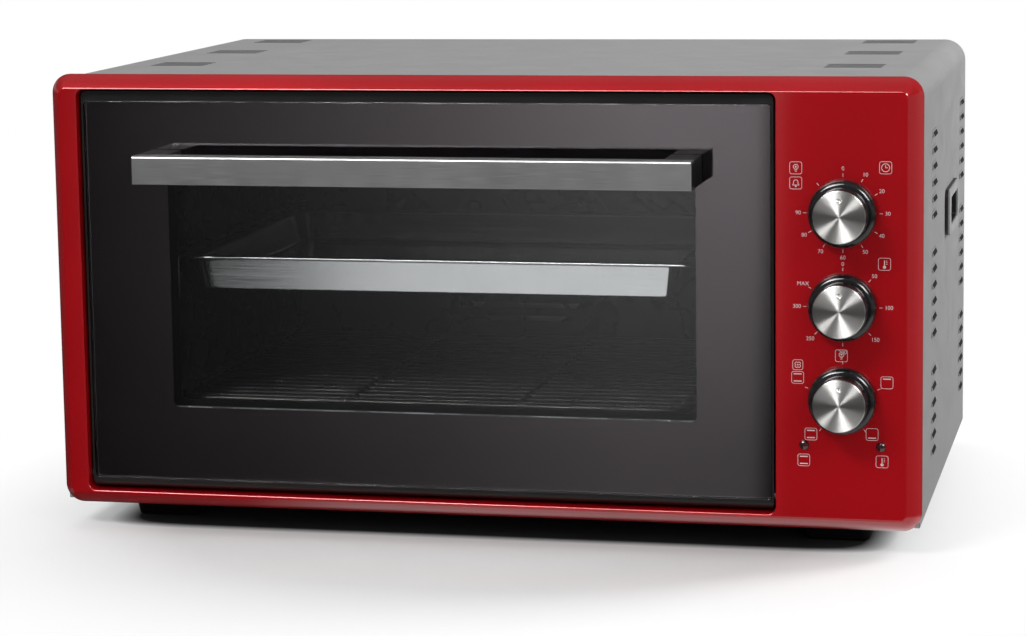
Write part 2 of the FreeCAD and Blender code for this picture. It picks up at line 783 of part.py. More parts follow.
# Feet
def foot(x, y):
    """Tapered black puck with a rounded lower edge and a recess for its screw."""
    height = CASE.z0
    puck = Part.makeCone(FOOT_BOTTOM_RADIUS, FOOT_TOP_RADIUS, height, Vector(x, y, 0))
    low_edges = [edge for edge in puck.Edges if edge.BoundBox.ZMax < SAME_PLACE]
    puck = puck.makeFillet(FOOT_EDGE, low_edges)
    recess = upright(FOOT_RECESS_RADIUS, x, y, -OVERRUN, FOOT_RECESS_DEPTH)
    hole = upright(SCREW_SHANK + SLIP_GAP, x, y, 0, height + OVERRUN)
    return without(puck, [recess, hole])


def foot_screws():
    """The four screws that hold the feet, heads up inside their recesses."""
    screws = []
    for x, y in foot_places().values():
        head = upright(
            SCREW_HEAD, x, y, FOOT_RECESS_DEPTH - SCREW_HEAD_THICK, FOOT_RECESS_DEPTH
        )
        shank = upright(SCREW_SHANK, x, y, FOOT_RECESS_DEPTH, FOOT_RECESS_DEPTH + 2 * SCREW_LENGTH)
        screws.append(head.fuse(shank))
    return Part.Compound(screws)


# Cooking cavity
def element_holes():
    """Holes in the cavity's right wall for the ends of both heating elements."""
    return [
        cross_bar(
            ELEMENT_RADIUS + SLIP_GAP, y, z, CAVITY.x1 - OVERRUN, CAVITY.x1 + SHEET + OVERRUN
        )
        for z in (ELEMENT_LOWER, ELEMENT_UPPER)
        for y in (ELEMENT_FRONT, ELEMENT_REAR)
    ]


def cavity_liner():
    """Pressed box that the food cooks in, with the flange that closes the door gap."""
    outer = slab(
        grow(CAVITY, SHEET), CAVITY_CORNER + SHEET, COLLAR_DEPTH, CAVITY_BACK + SHEET
    )
    flange = slab(
        grow(OPENING, BEZEL_WALL), OPENING_CORNER, COLLAR_DEPTH, COLLAR_DEPTH + SHEET
    )
    hollow = slab(CAVITY, CAVITY_CORNER, COLLAR_DEPTH - OVERRUN, CAVITY_BACK)
    y0 = CAVITY_BACK - OVERRUN
    y1 = CAVITY_BACK + SHEET + OVERRUN
    tools = [hollow] + element_holes()
    tools.append(peg(FAN_SHAFT_HOLE, CAVITY_CENTRE, FAN_HEIGHT, y0, y1))
    tools.append(peg(LAMP_HOLDER_RADIUS + SLIP_GAP, LAMP_X, LAMP_Z, y0, y1))
    return without(union([outer, flange]), tools)


def cavity_stays():
    """Two blocks of bent sheet that carry the back of the cavity on the base pan."""
    y1 = CAVITY_BACK + SHEET - STAY_SETBACK
    y0 = y1 - STAY_DEPTH
    z0 = CASE.z0 + SHEET
    z1 = CAVITY.z0 - SHEET
    stays = []
    for side in (-1, 1):
        x = CAVITY_CENTRE + side * STAY_OFFSET
        body = block(x - STAY_WIDTH / 2, x + STAY_WIDTH / 2, y0, y1, z0, z1)
        gap = block(
            x - STAY_WIDTH / 2 - OVERRUN, x + STAY_WIDTH / 2 + OVERRUN,
            y0 + SHEET, y1 + OVERRUN, z0 + SHEET, z1 - SHEET,
        )
        stays.append(body.cut(gap))
    return Part.Compound(stays)


def rack_guide(side):
    """Sheet on a side wall with three pairs of ledges that a tray or rack slides between."""
    wall = CAVITY.x1 if side > 0 else CAVITY.x0
    inner_face = wall - side * GUIDE_SHEET
    tip = wall - side * GUIDE_REACH
    plate_x = sorted((wall, inner_face))
    ledge_x = sorted((inner_face, tip))
    low = RACK_SEAT - GUIDE_PLATE_MARGIN
    high = SPARE_GUIDE_HEIGHT + GUIDE_PLATE_MARGIN
    pieces = [block(*plate_x, GUIDE_FRONT, GUIDE_REAR, low, high)]
    spaces = [
        (RACK_SEAT, 2 * RACK_FRAME_WIRE),
        (TRAY_SEAT, TRAY_RIM_THICK),
        (SPARE_GUIDE_HEIGHT - TRAY_RIM_THICK, TRAY_RIM_THICK),
    ]
    for seat, thick in spaces:
        above = seat + thick + SEAT_GAP + GUIDE_KEEPER_GAP
        pieces.append(block(*ledge_x, GUIDE_FRONT, GUIDE_REAR, seat - GUIDE_LEDGE, seat))
        pieces.append(block(*ledge_x, GUIDE_FRONT, GUIDE_REAR, above, above + GUIDE_LEDGE))
    return union(pieces)


# What slides on the guides
def tray_prism(inset, radius, z_low, z_high, draft):
    """Tray outline seen from above, narrowing downwards by the draft."""
    x0 = CAVITY.x0 + TRAY_SIDE_GAP + inset
    x1 = CAVITY.x1 - TRAY_SIDE_GAP - inset
    y0 = TRAY_FRONT + inset
    y1 = TRAY_REAR - inset
    top = rounded_wire(x0, x1, y0, y1, radius, at_height(z_high))
    low = rounded_wire(
        x0 + draft, x1 - draft, y0 + draft, y1 - draft, radius - draft / 2, at_height(z_low)
    )
    return Part.makeLoft([low, top], True, True)


def baking_tray():
    """Pressed tray: a flat rim, sloping walls and a flat floor."""
    rim_low = TRAY_RIM_HEIGHT - TRAY_RIM_THICK
    floor = TRAY_RIM_HEIGHT - TRAY_DEPTH
    rim = tray_prism(0, TRAY_RIM_CORNER, rim_low, TRAY_RIM_HEIGHT, 0)
    body = tray_prism(TRAY_RIM_WIDTH, TRAY_CORNER, floor, TRAY_RIM_HEIGHT, TRAY_DRAFT)
    inside = tray_prism(
        TRAY_RIM_WIDTH + TRAY_WALL, TRAY_CORNER - TRAY_WALL,
        floor + TRAY_WALL, TRAY_RIM_HEIGHT, TRAY_DRAFT,
    )
    lift = inside.copy()
    lift.translate(Vector(0, 0, TRAY_WALL / 2))
    return without(union([rim, body]), [inside, lift])


def bent_rod(points, bend, radius):
    """Round rod along straight runs that lie in one flat plane, with rounded corners."""
    edges = []
    start = points[0]
    for n in range(1, len(points) - 1):
        before = (points[n - 1] - points[n]).normalize()
        after = (points[n + 1] - points[n]).normalize()
        turn_in = points[n] + before * bend
        turn_out = points[n] + after * bend
        centre = turn_in + after * bend
        middle = centre + (points[n] - centre).normalize() * bend
        edges.append(Part.LineSegment(start, turn_in).toShape())
        edges.append(Part.Arc(turn_in, middle, turn_out).toShape())
        start = turn_out
    edges.append(Part.LineSegment(start, points[-1]).toShape())
    path = Part.Wire(edges)
    heading = points[1] - points[0]
    ring = Part.Wire(Part.makeCircle(radius, points[0], heading))
    return path.makePipeShell([ring], True, False)


def wire_rack():
    """Heavy frame wire, thin wires across it and two bars under them."""
    x0 = CAVITY.x0 + TRAY_SIDE_GAP + RACK_FRAME_WIRE
    x1 = CAVITY.x1 - TRAY_SIDE_GAP - RACK_FRAME_WIRE
    y0 = TRAY_FRONT + RACK_FRAME_WIRE
    y1 = TRAY_REAR - RACK_FRAME_WIRE
    z = RACK_HEIGHT
    middle = (x0 + x1) / 2
    corners = [(middle, y0), (x1, y0), (x1, y1), (x0, y1), (x0, y0), (middle, y0)]
    frame = bent_rod([Vector(x, y, z) for x, y in corners], RACK_CORNER, RACK_FRAME_WIRE)
    pieces = [frame]
    step = (y1 - y0) / (RACK_WIRES + 1)
    for n in range(RACK_WIRES):
        pieces.append(cross_bar(RACK_CROSS_WIRE, y0 + (n + 1) * step, z, x0, x1))
    for side in (-1, 1):
        x = CAVITY_CENTRE + side * RACK_BAR_OFFSET
        pieces.append(peg(RACK_BAR_WIRE, x, z - RACK_CROSS_WIRE / 2, y0, y1))
    return union(pieces)


def heating_element(z):
    """Tube that runs in from the right wall, turns twice and runs back out."""
    far = CAVITY.x0 + ELEMENT_END_GAP
    out = CAVITY.x1 + SHEET + ELEMENT_TAIL
    points = [
        Vector(out, ELEMENT_FRONT, z),
        Vector(far, ELEMENT_FRONT, z),
        Vector(far, ELEMENT_REAR, z),
        Vector(out, ELEMENT_REAR, z),
    ]
    pieces = [bent_rod(points, ELEMENT_BEND, ELEMENT_RADIUS)]
    for y in (ELEMENT_FRONT, ELEMENT_REAR):
        pieces.append(cross_bar(ELEMENT_PIN_RADIUS, y, z, out, out + ELEMENT_PIN_LENGTH))
        pieces.append(
            cross_bar(
                ELEMENT_FLANGE_RADIUS, y, z, CAVITY.x1 - ELEMENT_FLANGE_THICK, CAVITY.x1
            )
        )
    return union(pieces)


# Fan
def fan_wheel():
    """Back disc, hub, flat radial blades and the shaft that the motor turns."""
    back = CAVITY_BACK - FAN_WALL_GAP
    front = back - FAN_DISC_THICK - FAN_WIDTH
    x = CAVITY_CENTRE
    z = FAN_HEIGHT
    pieces = [
        peg(FAN_RADIUS, x, z, back - FAN_DISC_THICK, back),
        peg(FAN_HUB_RADIUS, x, z, front, back),
        peg(FAN_SHAFT_RADIUS, x, z, back, CAVITY_BACK + SHEET + MOTOR_PLATE_THICK + SHAFT_SOCKET),
    ]
    for n in range(FAN_BLADES):
        blade = block(
            x + FAN_HUB_RADIUS / 2, x + FAN_RADIUS, front, back - FAN_DISC_THICK / 2,
            z - FAN_BLADE_THICK / 2, z + FAN_BLADE_THICK / 2,
        )
        blade.rotate(Vector(x, 0, z), Vector(0, 1, 0), n * 360 / FAN_BLADES)
        pieces.append(blade)
    return union(pieces)


def fan_cover():
    """Shallow pressed pan over the fan, with slots in its face and a flange on the wall."""
    x = CAVITY_CENTRE
    z = FAN_HEIGHT
    front = CAVITY_BACK - FAN_COVER_DEPTH
    pan = peg(FAN_COVER_RADIUS, x, z, front, CAVITY_BACK)
    flange = peg(FAN_COVER_RADIUS + FAN_COVER_FLANGE, x, z, CAVITY_BACK - SHEET, CAVITY_BACK)
    hollow = peg(FAN_COVER_RADIUS - SHEET, x, z, front + SHEET, CAVITY_BACK + OVERRUN)
    tools = [hollow]
    first = z - (FAN_SLOTS - 1) / 2 * FAN_SLOT_PITCH
    for n in range(FAN_SLOTS):
        middle = first + n * FAN_SLOT_PITCH
        inner_radius = FAN_COVER_RADIUS - FAN_SLOT_EDGE
        half = math.sqrt(max(inner_radius ** 2 - (middle - z) ** 2, FAN_SLOT_PITCH ** 2))
        slot = Rect(x - half, x + half, middle - FAN_SLOT_WIDTH / 2, middle + FAN_SLOT_WIDTH / 2)
        tools.append(slab(slot, FAN_SLOT_WIDTH / 2, front - OVERRUN, front + SHEET + OVERRUN))
    return without(union([pan, flange]), tools)


def fan_motor():
    """Round motor on a square plate, fixed to the outside of the cavity's back wall."""
    x = CAVITY_CENTRE
    z = FAN_HEIGHT
    y0 = CAVITY_BACK + SHEET
    plate = block(
        x - MOTOR_PLATE, x + MOTOR_PLATE, y0, y0 + MOTOR_PLATE_THICK,
        z - MOTOR_PLATE, z + MOTOR_PLATE,
    )
    can = peg(MOTOR_RADIUS, x, z, y0 + MOTOR_PLATE_THICK, y0 + MOTOR_PLATE_THICK + MOTOR_DEPTH)
    socket_end = y0 + MOTOR_PLATE_THICK + SHAFT_SOCKET + SEAT_GAP
    socket = peg(FAN_SHAFT_RADIUS + RUNNING_GAP, x, z, y0 - OVERRUN, socket_end)
    return without(union([plate, can]), [socket])


# Oven lamp
def lamp_lens():
    """Domed glass over the oven lamp, with a flange that seats on the back wall."""
    inner = LAMP_RADIUS - LAMP_GLASS
    dome_steps = 6
    wall = CAVITY_BACK

    def dome(radius, height):
        turns = [math.radians(90 * n / dome_steps) for n in range(dome_steps + 1)]
        return [(radius * math.cos(turn), wall - height * math.sin(turn)) for turn in turns]

    outside = dome(LAMP_RADIUS, LAMP_DOME)
    inside = dome(inner, LAMP_DOME - LAMP_GLASS)
    glass = turned(outside + list(reversed(inside)), LAMP_X, LAMP_Z)
    flange = peg(LAMP_RADIUS + LAMP_FLANGE, LAMP_X, LAMP_Z, wall - LAMP_FLANGE_THICK, wall)
    hole = peg(inner, LAMP_X, LAMP_Z, wall - LAMP_FLANGE_THICK - OVERRUN, wall + OVERRUN)
    return union([glass, flange.cut(hole)])


def lamp_holder():
    """Socket behind the back wall with the small bulb that lights the cavity."""
    y0 = CAVITY_BACK
    can = peg(LAMP_HOLDER_RADIUS, LAMP_X, LAMP_Z, y0, y0 + LAMP_HOLDER_DEPTH)
    ring = peg(
        LAMP_HOLDER_RADIUS + LAMP_FLANGE, LAMP_X, LAMP_Z,
        y0 + SHEET, y0 + SHEET + LAMP_FLANGE_THICK,
    )
    bulb = Part.makeSphere(BULB_RADIUS, Vector(LAMP_X, y0, LAMP_Z))
    return union([can, ring, bulb])


def thermostat_probe():
    """Thin rod along the right wall, held off it by two clips."""
    x = CAVITY.x1 - PROBE_OFF_WALL
    rod = peg(PROBE_RADIUS, x, PROBE_HEIGHT, PROBE_FRONT, PROBE_FRONT + PROBE_LENGTH)
    pieces = [rod]
    for share in (0, 1):
        y = PROBE_FRONT + PROBE_CLIP + share * (PROBE_LENGTH - 3 * PROBE_CLIP)
        pieces.append(
            block(
                x, CAVITY.x1, y, y + PROBE_CLIP,
                PROBE_HEIGHT - PROBE_CLIP / 2, PROBE_HEIGHT + PROBE_CLIP / 2,
            )
        )
    return union(pieces)


# Door
def door_section():
    """The door's outline seen from the side, with its lower edges rounded to clear the rim."""
    z0 = DOOR.z0
    top = DOOR.z1 + OVERRUN
    x0 = DOOR.x0 - OVERRUN

    def point(y, z):
        return Vector(x0, y, z)

    def corner(y_centre, z_centre, radius, start):
        turns = [math.radians(start + part * 45) for part in range(3)]
        return [
            point(y_centre + radius * math.cos(turn), z_centre + radius * math.sin(turn))
            for turn in turns
        ]

    toe = corner(DOOR_FRONT + DOOR_TOE, z0 + DOOR_TOE, DOOR_TOE, 180)
    heel = corner(DOOR_BACK - DOOR_HEEL, z0 + DOOR_HEEL, DOOR_HEEL, 270)
    edges = [
        Part.LineSegment(point(DOOR_FRONT, top), toe[0]).toShape(),
        Part.Arc(*toe).toShape(),
        Part.LineSegment(toe[2], heel[0]).toShape(),
        Part.Arc(*heel).toShape(),
        Part.LineSegment(heel[2], point(DOOR_BACK, top)).toShape(),
        Part.LineSegment(point(DOOR_BACK, top), point(DOOR_FRONT, top)).toShape(),
    ]
    length = DOOR.x1 - DOOR.x0 + 2 * OVERRUN
    return Part.Face(Part.Wire(edges)).extrude(Vector(length, 0, 0))


def door_frame():
    """Black frame: a hollow pan behind the glass, with rims above and below it."""
    body = slab(DOOR, DOOR_CORNER, DOOR_FRONT, DOOR_BACK).common(door_section())
    glass_bed = slab(grow(GLASS, SLIP_GAP), GLASS_CORNER, DOOR_FRONT - OVERRUN, GLASS_BACK)
    pocket_rect = grow(DOOR, -DOOR_FRAME_WALL)
    pocket_rect = pocket_rect._replace(
        z0=GLASS.z0 + DOOR_FRAME_WALL, z1=GLASS.z1 - DOOR_FRAME_WALL
    )
    pocket = slab(
        pocket_rect, DOOR_CORNER, GLASS_BACK - OVERRUN, DOOR_BACK - DOOR_BACK_WALL
    )
    bosses = []
    for x0, x1 in ((DOOR.x0, DOOR.x0 + HINGE_ENTRY), (DOOR.x1 - HINGE_ENTRY, DOOR.x1)):
        bosses.append(
            block(
                x0, x1, GLASS_BACK, HINGE_DEPTH + HINGE_BOSS,
                HINGE_HEIGHT - HINGE_BOSS / 2, HINGE_HEIGHT + HINGE_BOSS,
            ).common(slab(DOOR, DOOR_CORNER, DOOR_FRONT, DOOR_BACK))
        )
    window = slab(WINDOW, WINDOW_CORNER, GLASS_BACK, DOOR_BACK + OVERRUN)
    hollow = without(body, [glass_bed, pocket, window])
    bores = []
    for x0, x1 in hinge_pin_spans():
        bores.append(
            cross_bar(
                HINGE_PIN + RUNNING_GAP, HINGE_DEPTH, HINGE_HEIGHT, x0 - SEAT_GAP, x1 + SEAT_GAP
            )
        )
    return without(union([hollow] + bosses), bores)


def hinge_pin_spans():
    """The left and right end of each hinge pin."""
    reach = BEZEL_WALL + HINGE_BLOCK
    entry = HINGE_ENTRY - SEAT_GAP
    return [
        (OPENING.x0 - reach, DOOR.x0 + entry),
        (DOOR.x1 - entry, OPENING.x1 + reach),
    ]


def hinge_pin(n):
    """Steel pin that the door turns on, fixed in the collar and its block."""
    x0, x1 = hinge_pin_spans()[n]
    return cross_bar(HINGE_PIN, HINGE_DEPTH, HINGE_HEIGHT, x0, x1)


def hinge_block(side):
    """Steel block behind the collar that holds a hinge pin."""
    wall = OPENING.x1 + BEZEL_WALL if side > 0 else OPENING.x0 - BEZEL_WALL
    x0, x1 = sorted((wall, wall + side * HINGE_BLOCK))
    half = HINGE_BLOCK_SIZE / 2
    body = block(
        x0, x1, HINGE_DEPTH - half, HINGE_DEPTH + half, HINGE_HEIGHT - half, HINGE_HEIGHT + half
    )
    return body.cut(hinge_bore(HINGE_PIN + RUNNING_GAP))


def handle_screw_places():
    """X and height of the four screws that go through the glass into the handle posts."""
    half = HANDLE_POST_LENGTH / 2
    quarter = HANDLE_BAR_HEIGHT / 4
    middle = (BAR.z0 + BAR.z1) / 2
    return [
        (x, middle + lift)
        for x in (BAR.x0 + half, BAR.x1 - half)
        for lift in (-quarter, quarter)
    ]


def door_glass_outer():
    """Front pane of the door, with holes for the handle screws."""
    pane = slab(GLASS, GLASS_CORNER, GLASS_FRONT, GLASS_BACK)
    holes = [
        peg(HANDLE_SCREW_RADIUS + SLIP_GAP, x, z, GLASS_FRONT - OVERRUN, GLASS_BACK + OVERRUN)
        for x, z in handle_screw_places()
    ]
    return without(pane, holes)


def door_glass_inner():
    """Inner pane that lies on the back wall of the door frame, behind the window."""
    back = DOOR_BACK - DOOR_BACK_WALL
    return slab(grow(WINDOW, INNER_GLASS_LAP), GLASS_CORNER, back - INNER_GLASS_THICK, back)


def glass_retainers():
    """Two stepped strips that hold the inner pane at its top and bottom."""
    pane = grow(WINDOW, INNER_GLASS_LAP)
    back = DOOR_BACK - DOOR_BACK_WALL
    face = back - INNER_GLASS_THICK
    strips = []
    for edge, out in ((pane.z0, -1), (pane.z1, 1)):
        over = sorted((edge - out * RETAINER_LAP, edge + out * (SLIP_GAP + RETAINER_THICK)))
        leg = sorted((edge + out * SLIP_GAP, edge + out * (SLIP_GAP + RETAINER_THICK)))
        foot_z = sorted((edge + out * SLIP_GAP, edge + out * (SLIP_GAP + RETAINER_LAP)))
        strips.append(union([
            block(pane.x0, pane.x1, face - RETAINER_THICK, face, *over),
            block(pane.x0, pane.x1, face - RETAINER_THICK, back, *leg),
            block(pane.x0, pane.x1, back - RETAINER_THICK, back, *foot_z),
        ]))
    return Part.Compound(strips)


def door_seal():
    """Silicone ring on the cavity's flange that the closed door meets."""
    y0 = DOOR_BACK + SEAT_GAP
    outer = grow(CAVITY, SEAL_OFFSET + SEAL_WIDTH)
    inner = grow(CAVITY, SEAL_OFFSET)
    ring = slab(outer, CAVITY_CORNER + SEAL_OFFSET + SEAL_WIDTH, y0, COLLAR_DEPTH)
    hole = slab(inner, CAVITY_CORNER + SEAL_OFFSET, y0 - OVERRUN, COLLAR_DEPTH + OVERRUN)
    return ring.cut(hole)


# Door handle
def handle_bar():
    """Brushed metal channel: front face, top and bottom, open at the back."""
    front = -HANDLE_REACH
    x0 = BAR.x0
    body = slab(BAR, HANDLE_BAR_EDGE, front, front + HANDLE_BAR_DEPTH)
    long_edges = [
        edge for edge in body.Edges
        if edge.BoundBox.YMax < front + SAME_PLACE
    ]
    body = body.makeFillet(HANDLE_BAR_FILLET, long_edges)
    hollow = block(
        x0 + HANDLE_END_CAP, BAR.x1 - HANDLE_END_CAP,
        front + HANDLE_BAR_SKIN, front + HANDLE_BAR_DEPTH + OVERRUN,
        BAR.z0 + HANDLE_BAR_SKIN, BAR.z1 - HANDLE_BAR_SKIN,
    )
    return body.cut(hollow)


def handle_core():
    """Black insert that fills the channel and closes its back."""
    front = -HANDLE_REACH
    inside = block(
        BAR.x0 + HANDLE_END_CAP + SLIP_GAP, BAR.x1 - HANDLE_END_CAP - SLIP_GAP,
        front + HANDLE_BAR_SKIN, front + HANDLE_BAR_DEPTH,
        BAR.z0 + HANDLE_BAR_SKIN + SLIP_GAP, BAR.z1 - HANDLE_BAR_SKIN - SLIP_GAP,
    )
    back_y = front + HANDLE_BAR_DEPTH
    cover = slab(BAR, HANDLE_BAR_EDGE, back_y, back_y + HANDLE_END_CAP)
    return union([inside, cover])


def handle_post(x0):
    """Black post between the bar's end and the glass, with holes for two screws."""
    y0 = -HANDLE_REACH + HANDLE_BAR_DEPTH + HANDLE_END_CAP
    rect = Rect(x0, x0 + HANDLE_POST_LENGTH, BAR.z0, BAR.z1)
    post = slab(rect, HANDLE_BAR_EDGE, y0, GLASS_FRONT)
    holes = [
        peg(
            HANDLE_SCREW_RADIUS + RUNNING_GAP, x, z,
            GLASS_FRONT - HANDLE_SCREW_DEPTH - SEAT_GAP, GLASS_FRONT + OVERRUN,
        )
        for x, z in handle_screw_places()
    ]
    return without(post, holes)


def handle_screws():
    """Four screws with their heads behind the front pane."""
    screws = []
    for x, z in handle_screw_places():
        head = peg(HANDLE_SCREW_HEAD, x, z, GLASS_BACK, GLASS_BACK + HANDLE_SCREW_HEAD_THICK)
        shank = peg(HANDLE_SCREW_RADIUS, x, z, GLASS_FRONT - HANDLE_SCREW_DEPTH, GLASS_BACK)
        screws.append(head.fuse(shank))
    return Part.Compound(screws)


# Dials
def dial_knob(z):
    """Black knob: wide base, rounded shoulder, straight neck, hub and hollow back."""
    base = -KNOB_GAP
    tip = base - KNOB_LENGTH
    profile = [(0, base), (KNOB_RADIUS, base), (KNOB_RADIUS, base - KNOB_BASE)]
    for n in range(1, KNOB_SHOULDER_STEPS + 1):
        turn = math.radians(90 * n / KNOB_SHOULDER_STEPS)
        radius = KNOB_NECK + (KNOB_RADIUS - KNOB_NECK) * math.cos(turn)
        profile.append((radius, base - KNOB_BASE - KNOB_SHOULDER * math.sin(turn)))
    profile += [(KNOB_TIP, tip), (KNOB_CAP_RADIUS, tip), (KNOB_CAP_RADIUS, tip + KNOB_CAP_SEAT)]
    profile.append((0, tip + KNOB_CAP_SEAT))
    body = turned(profile, DIAL_X, z)
    hollow_front = base - KNOB_HOLLOW
    ring = peg(
        KNOB_TIP - KNOB_HOLLOW_WALL, DIAL_X, z, hollow_front, OVERRUN
    ).cut(peg(KNOB_HUB, DIAL_X, z, hollow_front - OVERRUN, OVERRUN))
    socket = peg(
        SHAFT_RADIUS + RUNNING_GAP, DIAL_X, z, base - SHAFT_GRIP - SEAT_GAP, OVERRUN
    )
    return without(body, [ring, socket])


def dial_cap(z):
    """Spun steel disc in the front of a knob, with the dimple that marks its pointer."""
    seat = -KNOB_GAP - KNOB_LENGTH + KNOB_CAP_SEAT
    front = seat - KNOB_CAP_THICK
    radius = KNOB_CAP_RADIUS - RUNNING_GAP
    disc = peg(radius, DIAL_X, z, front, seat)
    disc = soften_front(disc, front, KNOB_CAP_FILLET)
    dimple = peg(
        KNOB_DIMPLE_RADIUS, DIAL_X, z + KNOB_DIMPLE_PLACE, front - OVERRUN,
        front + KNOB_DIMPLE_DEPTH,
    )
    return disc.cut(dimple)


def dial_shaft(z, depth):
    """Shaft from the knob's hub through the panel into the piece that it turns."""
    y0 = -KNOB_GAP - SHAFT_GRIP
    return peg(SHAFT_RADIUS, DIAL_X, z, y0, BRACKET_BACK + depth / 2)


def with_bush(body, z, depth):
    """Adds the threaded nose that goes through the bracket, and bores it for the shaft."""
    nose = peg(BUSH_RADIUS, DIAL_X, z, CONTROL_BRACKET_FRONT - BUSH_LENGTH, BRACKET_BACK)
    bore = peg(
        SHAFT_RADIUS + RUNNING_GAP, DIAL_X, z,
        CONTROL_BRACKET_FRONT - BUSH_LENGTH - OVERRUN, BRACKET_BACK + depth / 2 + SEAT_GAP,
    )
    return without(union([body, nose]), [bore])


def terminal_tabs(z, depth):
    """Two flat tabs at the back of a control, for its wires."""
    y0 = BRACKET_BACK + depth
    tabs = []
    for side in (-1, 1):
        x = DIAL_X + side * TERMINAL_TAB
        tabs.append(
            block(
                x - TERMINAL_TAB_THICK / 2, x + TERMINAL_TAB_THICK / 2,
                y0 - TERMINAL_TAB / 2, y0 + TERMINAL_TAB, z - TERMINAL_TAB / 2, z + TERMINAL_TAB / 2,
            )
        )
    return tabs


def square_control(z, size, depth):
    """Control with a square body behind the bracket."""
    half = size / 2
    body = block(
        DIAL_X - half, DIAL_X + half, BRACKET_BACK, BRACKET_BACK + depth, z - half, z + half
    )
    return with_bush(union([body] + terminal_tabs(z, depth)), z, depth)


def round_control(z, radius, depth):
    """Control with a round body behind the bracket."""
    body = peg(radius, DIAL_X, z, BRACKET_BACK, BRACKET_BACK + depth)
    return with_bush(union([body] + terminal_tabs(z, depth)), z, depth)


def control_nuts():
    """Three hexagon nuts that clamp the controls to their bracket."""
    nuts = []
    radius = NUT_WIDTH / math.sqrt(3)
    y1 = CONTROL_BRACKET_FRONT
    for z in DIAL_HEIGHTS:
        points = [
            (
                DIAL_X + radius * math.cos(math.radians(60 * n)),
                z + radius * math.sin(math.radians(60 * n)),
            )
            for n in range(6)
        ]
        nut = prism_along_depth(points, y1 - NUT_THICK, y1)
        nuts.append(
            nut.cut(peg(BUSH_RADIUS + SLIP_GAP, DIAL_X, z, y1 - NUT_THICK - OVERRUN, y1 + OVERRUN))
        )
    return Part.Compound(nuts)


def control_bracket():
    """Sheet behind the panel that carries the controls, fixed to collar and casing."""
    x0 = OPENING.x1 + BEZEL_WALL
    x1 = CASE.x1 - SHEET
    z0 = BEZEL.z0 + CONTROL_BRACKET_BOTTOM
    z1 = BEZEL.z1 - CONTROL_BRACKET_TOP
    front = CONTROL_BRACKET_FRONT
    plate = block(x0, x1, front, BRACKET_BACK, z0, z1)
    left = block(x0, x0 + SHEET, front, COLLAR_DEPTH, z0, z1)
    right = block(x1 - SHEET, x1, front, front + CONTROL_BRACKET_WING, z0, z1)
    tools = [
        peg(BUSH_RADIUS + SLIP_GAP, DIAL_X, z, front - OVERRUN, BRACKET_BACK + OVERRUN)
        for z in DIAL_HEIGHTS
    ]
    for x in indicator_places():
        tools.append(
            peg(
                INDICATOR_BODY_RADIUS + SLIP_GAP, x, INDICATOR_Z,
                front - OVERRUN, BRACKET_BACK + OVERRUN,
            )
        )
    return without(union([plate, left, right]), tools)


# Indicator lamps
def indicator_lens(x):
    """Small dark red dome on the panel, with a stem through it."""
    steps = 5
    turns = [math.radians(90 * n / steps) for n in range(steps + 1)]
    profile = [(0, 0)]
    profile += [
        (INDICATOR_RADIUS * math.cos(turn), -INDICATOR_DOME * math.sin(turn)) for turn in turns
    ]
    dome = turned(profile[:-1] + [(0, -INDICATOR_DOME)], x, INDICATOR_Z)
    stem = peg(INDICATOR_STEM, x, INDICATOR_Z, 0, INDICATOR_STEM_DEPTH)
    return union([dome, stem])


def indicator_bodies():
    """The two lamps behind the lenses, held in the control bracket."""
    y0 = INDICATOR_STEM_DEPTH
    return Part.Compound([
        peg(INDICATOR_BODY_RADIUS, x, INDICATOR_Z, y0, y0 + INDICATOR_BODY_LENGTH)
        for x in indicator_places()
    ])


# Side grips
def side_grip(side):
    """Moulded finger grip: a flange outside, a cup inside and a rib across the cup."""
    face = CASE.x1 + GRIP_PROUD
    floor = face - GRIP_POCKET_DEPTH
    flange = grip_prism(side, 0, 0, GRIP_CORNER, CASE.x1, face)
    cup = grip_cup(side, 0, floor - GRIP_WALL, CASE.x1)
    pocket = grip_prism(
        side, GRIP_BORDER_LONG, GRIP_BORDER_HIGH, GRIP_POCKET_CORNER, floor, face + OVERRUN
    )
    y0, y1, z0, z1 = grip_outline(GRIP_BORDER_LONG, GRIP_BORDER_HIGH)
    middle = (z0 + z1) / 2
    rib_x = sorted((side * (floor - GRIP_WALL / 2), side * (floor + GRIP_RIB_DEPTH)))
    rib = block(*rib_x, y0 - GRIP_WALL / 2, y1 + GRIP_WALL / 2,
                middle - GRIP_RIB / 2, middle + GRIP_RIB / 2)
    return union([union([flange, cup]).cut(pocket), rib])


# Inside the control compartment
def heat_shield():
    """Upright sheet between the cavity and the controls, with a foot on the base pan."""
    x = CAVITY.x1 + SHIELD_OFFSET
    z0 = CASE.z0 + SHEET
    y0 = COLLAR_DEPTH + SHEET + SHIELD_FRONT_GAP
    y1 = CASE_END - SHEET
    wall = block(x, x + SHEET, y0, y1, z0, CASE.z1 - SHIELD_TOP_GAP)
    base = block(x, x + SHIELD_FOOT, y0, y1, z0, z0 + SHEET)
    return union([wall, base])


def terminal_block():
    """Block on the base pan where the supply wires are clamped."""
    x0 = GLAND_X - BLOCK_LENGTH / 2
    y1 = CASE_END - PAN_FLANGE - GLAND_BODY_LENGTH
    z0 = CASE.z0 + SHEET
    body = block(x0, x0 + BLOCK_LENGTH, y1 - BLOCK_DEPTH, y1, z0, z0 + BLOCK_HEIGHT)
    step = BLOCK_LENGTH / BLOCK_WAYS
    wells = [
        upright(
            BLOCK_WELL_RADIUS, x0 + (n + 1 / 2) * step, y1 - BLOCK_DEPTH / 2,
            z0 + BLOCK_HEIGHT - BLOCK_WELL_DEPTH, z0 + BLOCK_HEIGHT + OVERRUN,
        )
        for n in range(BLOCK_WAYS)
    ]
    return without(body, wells)


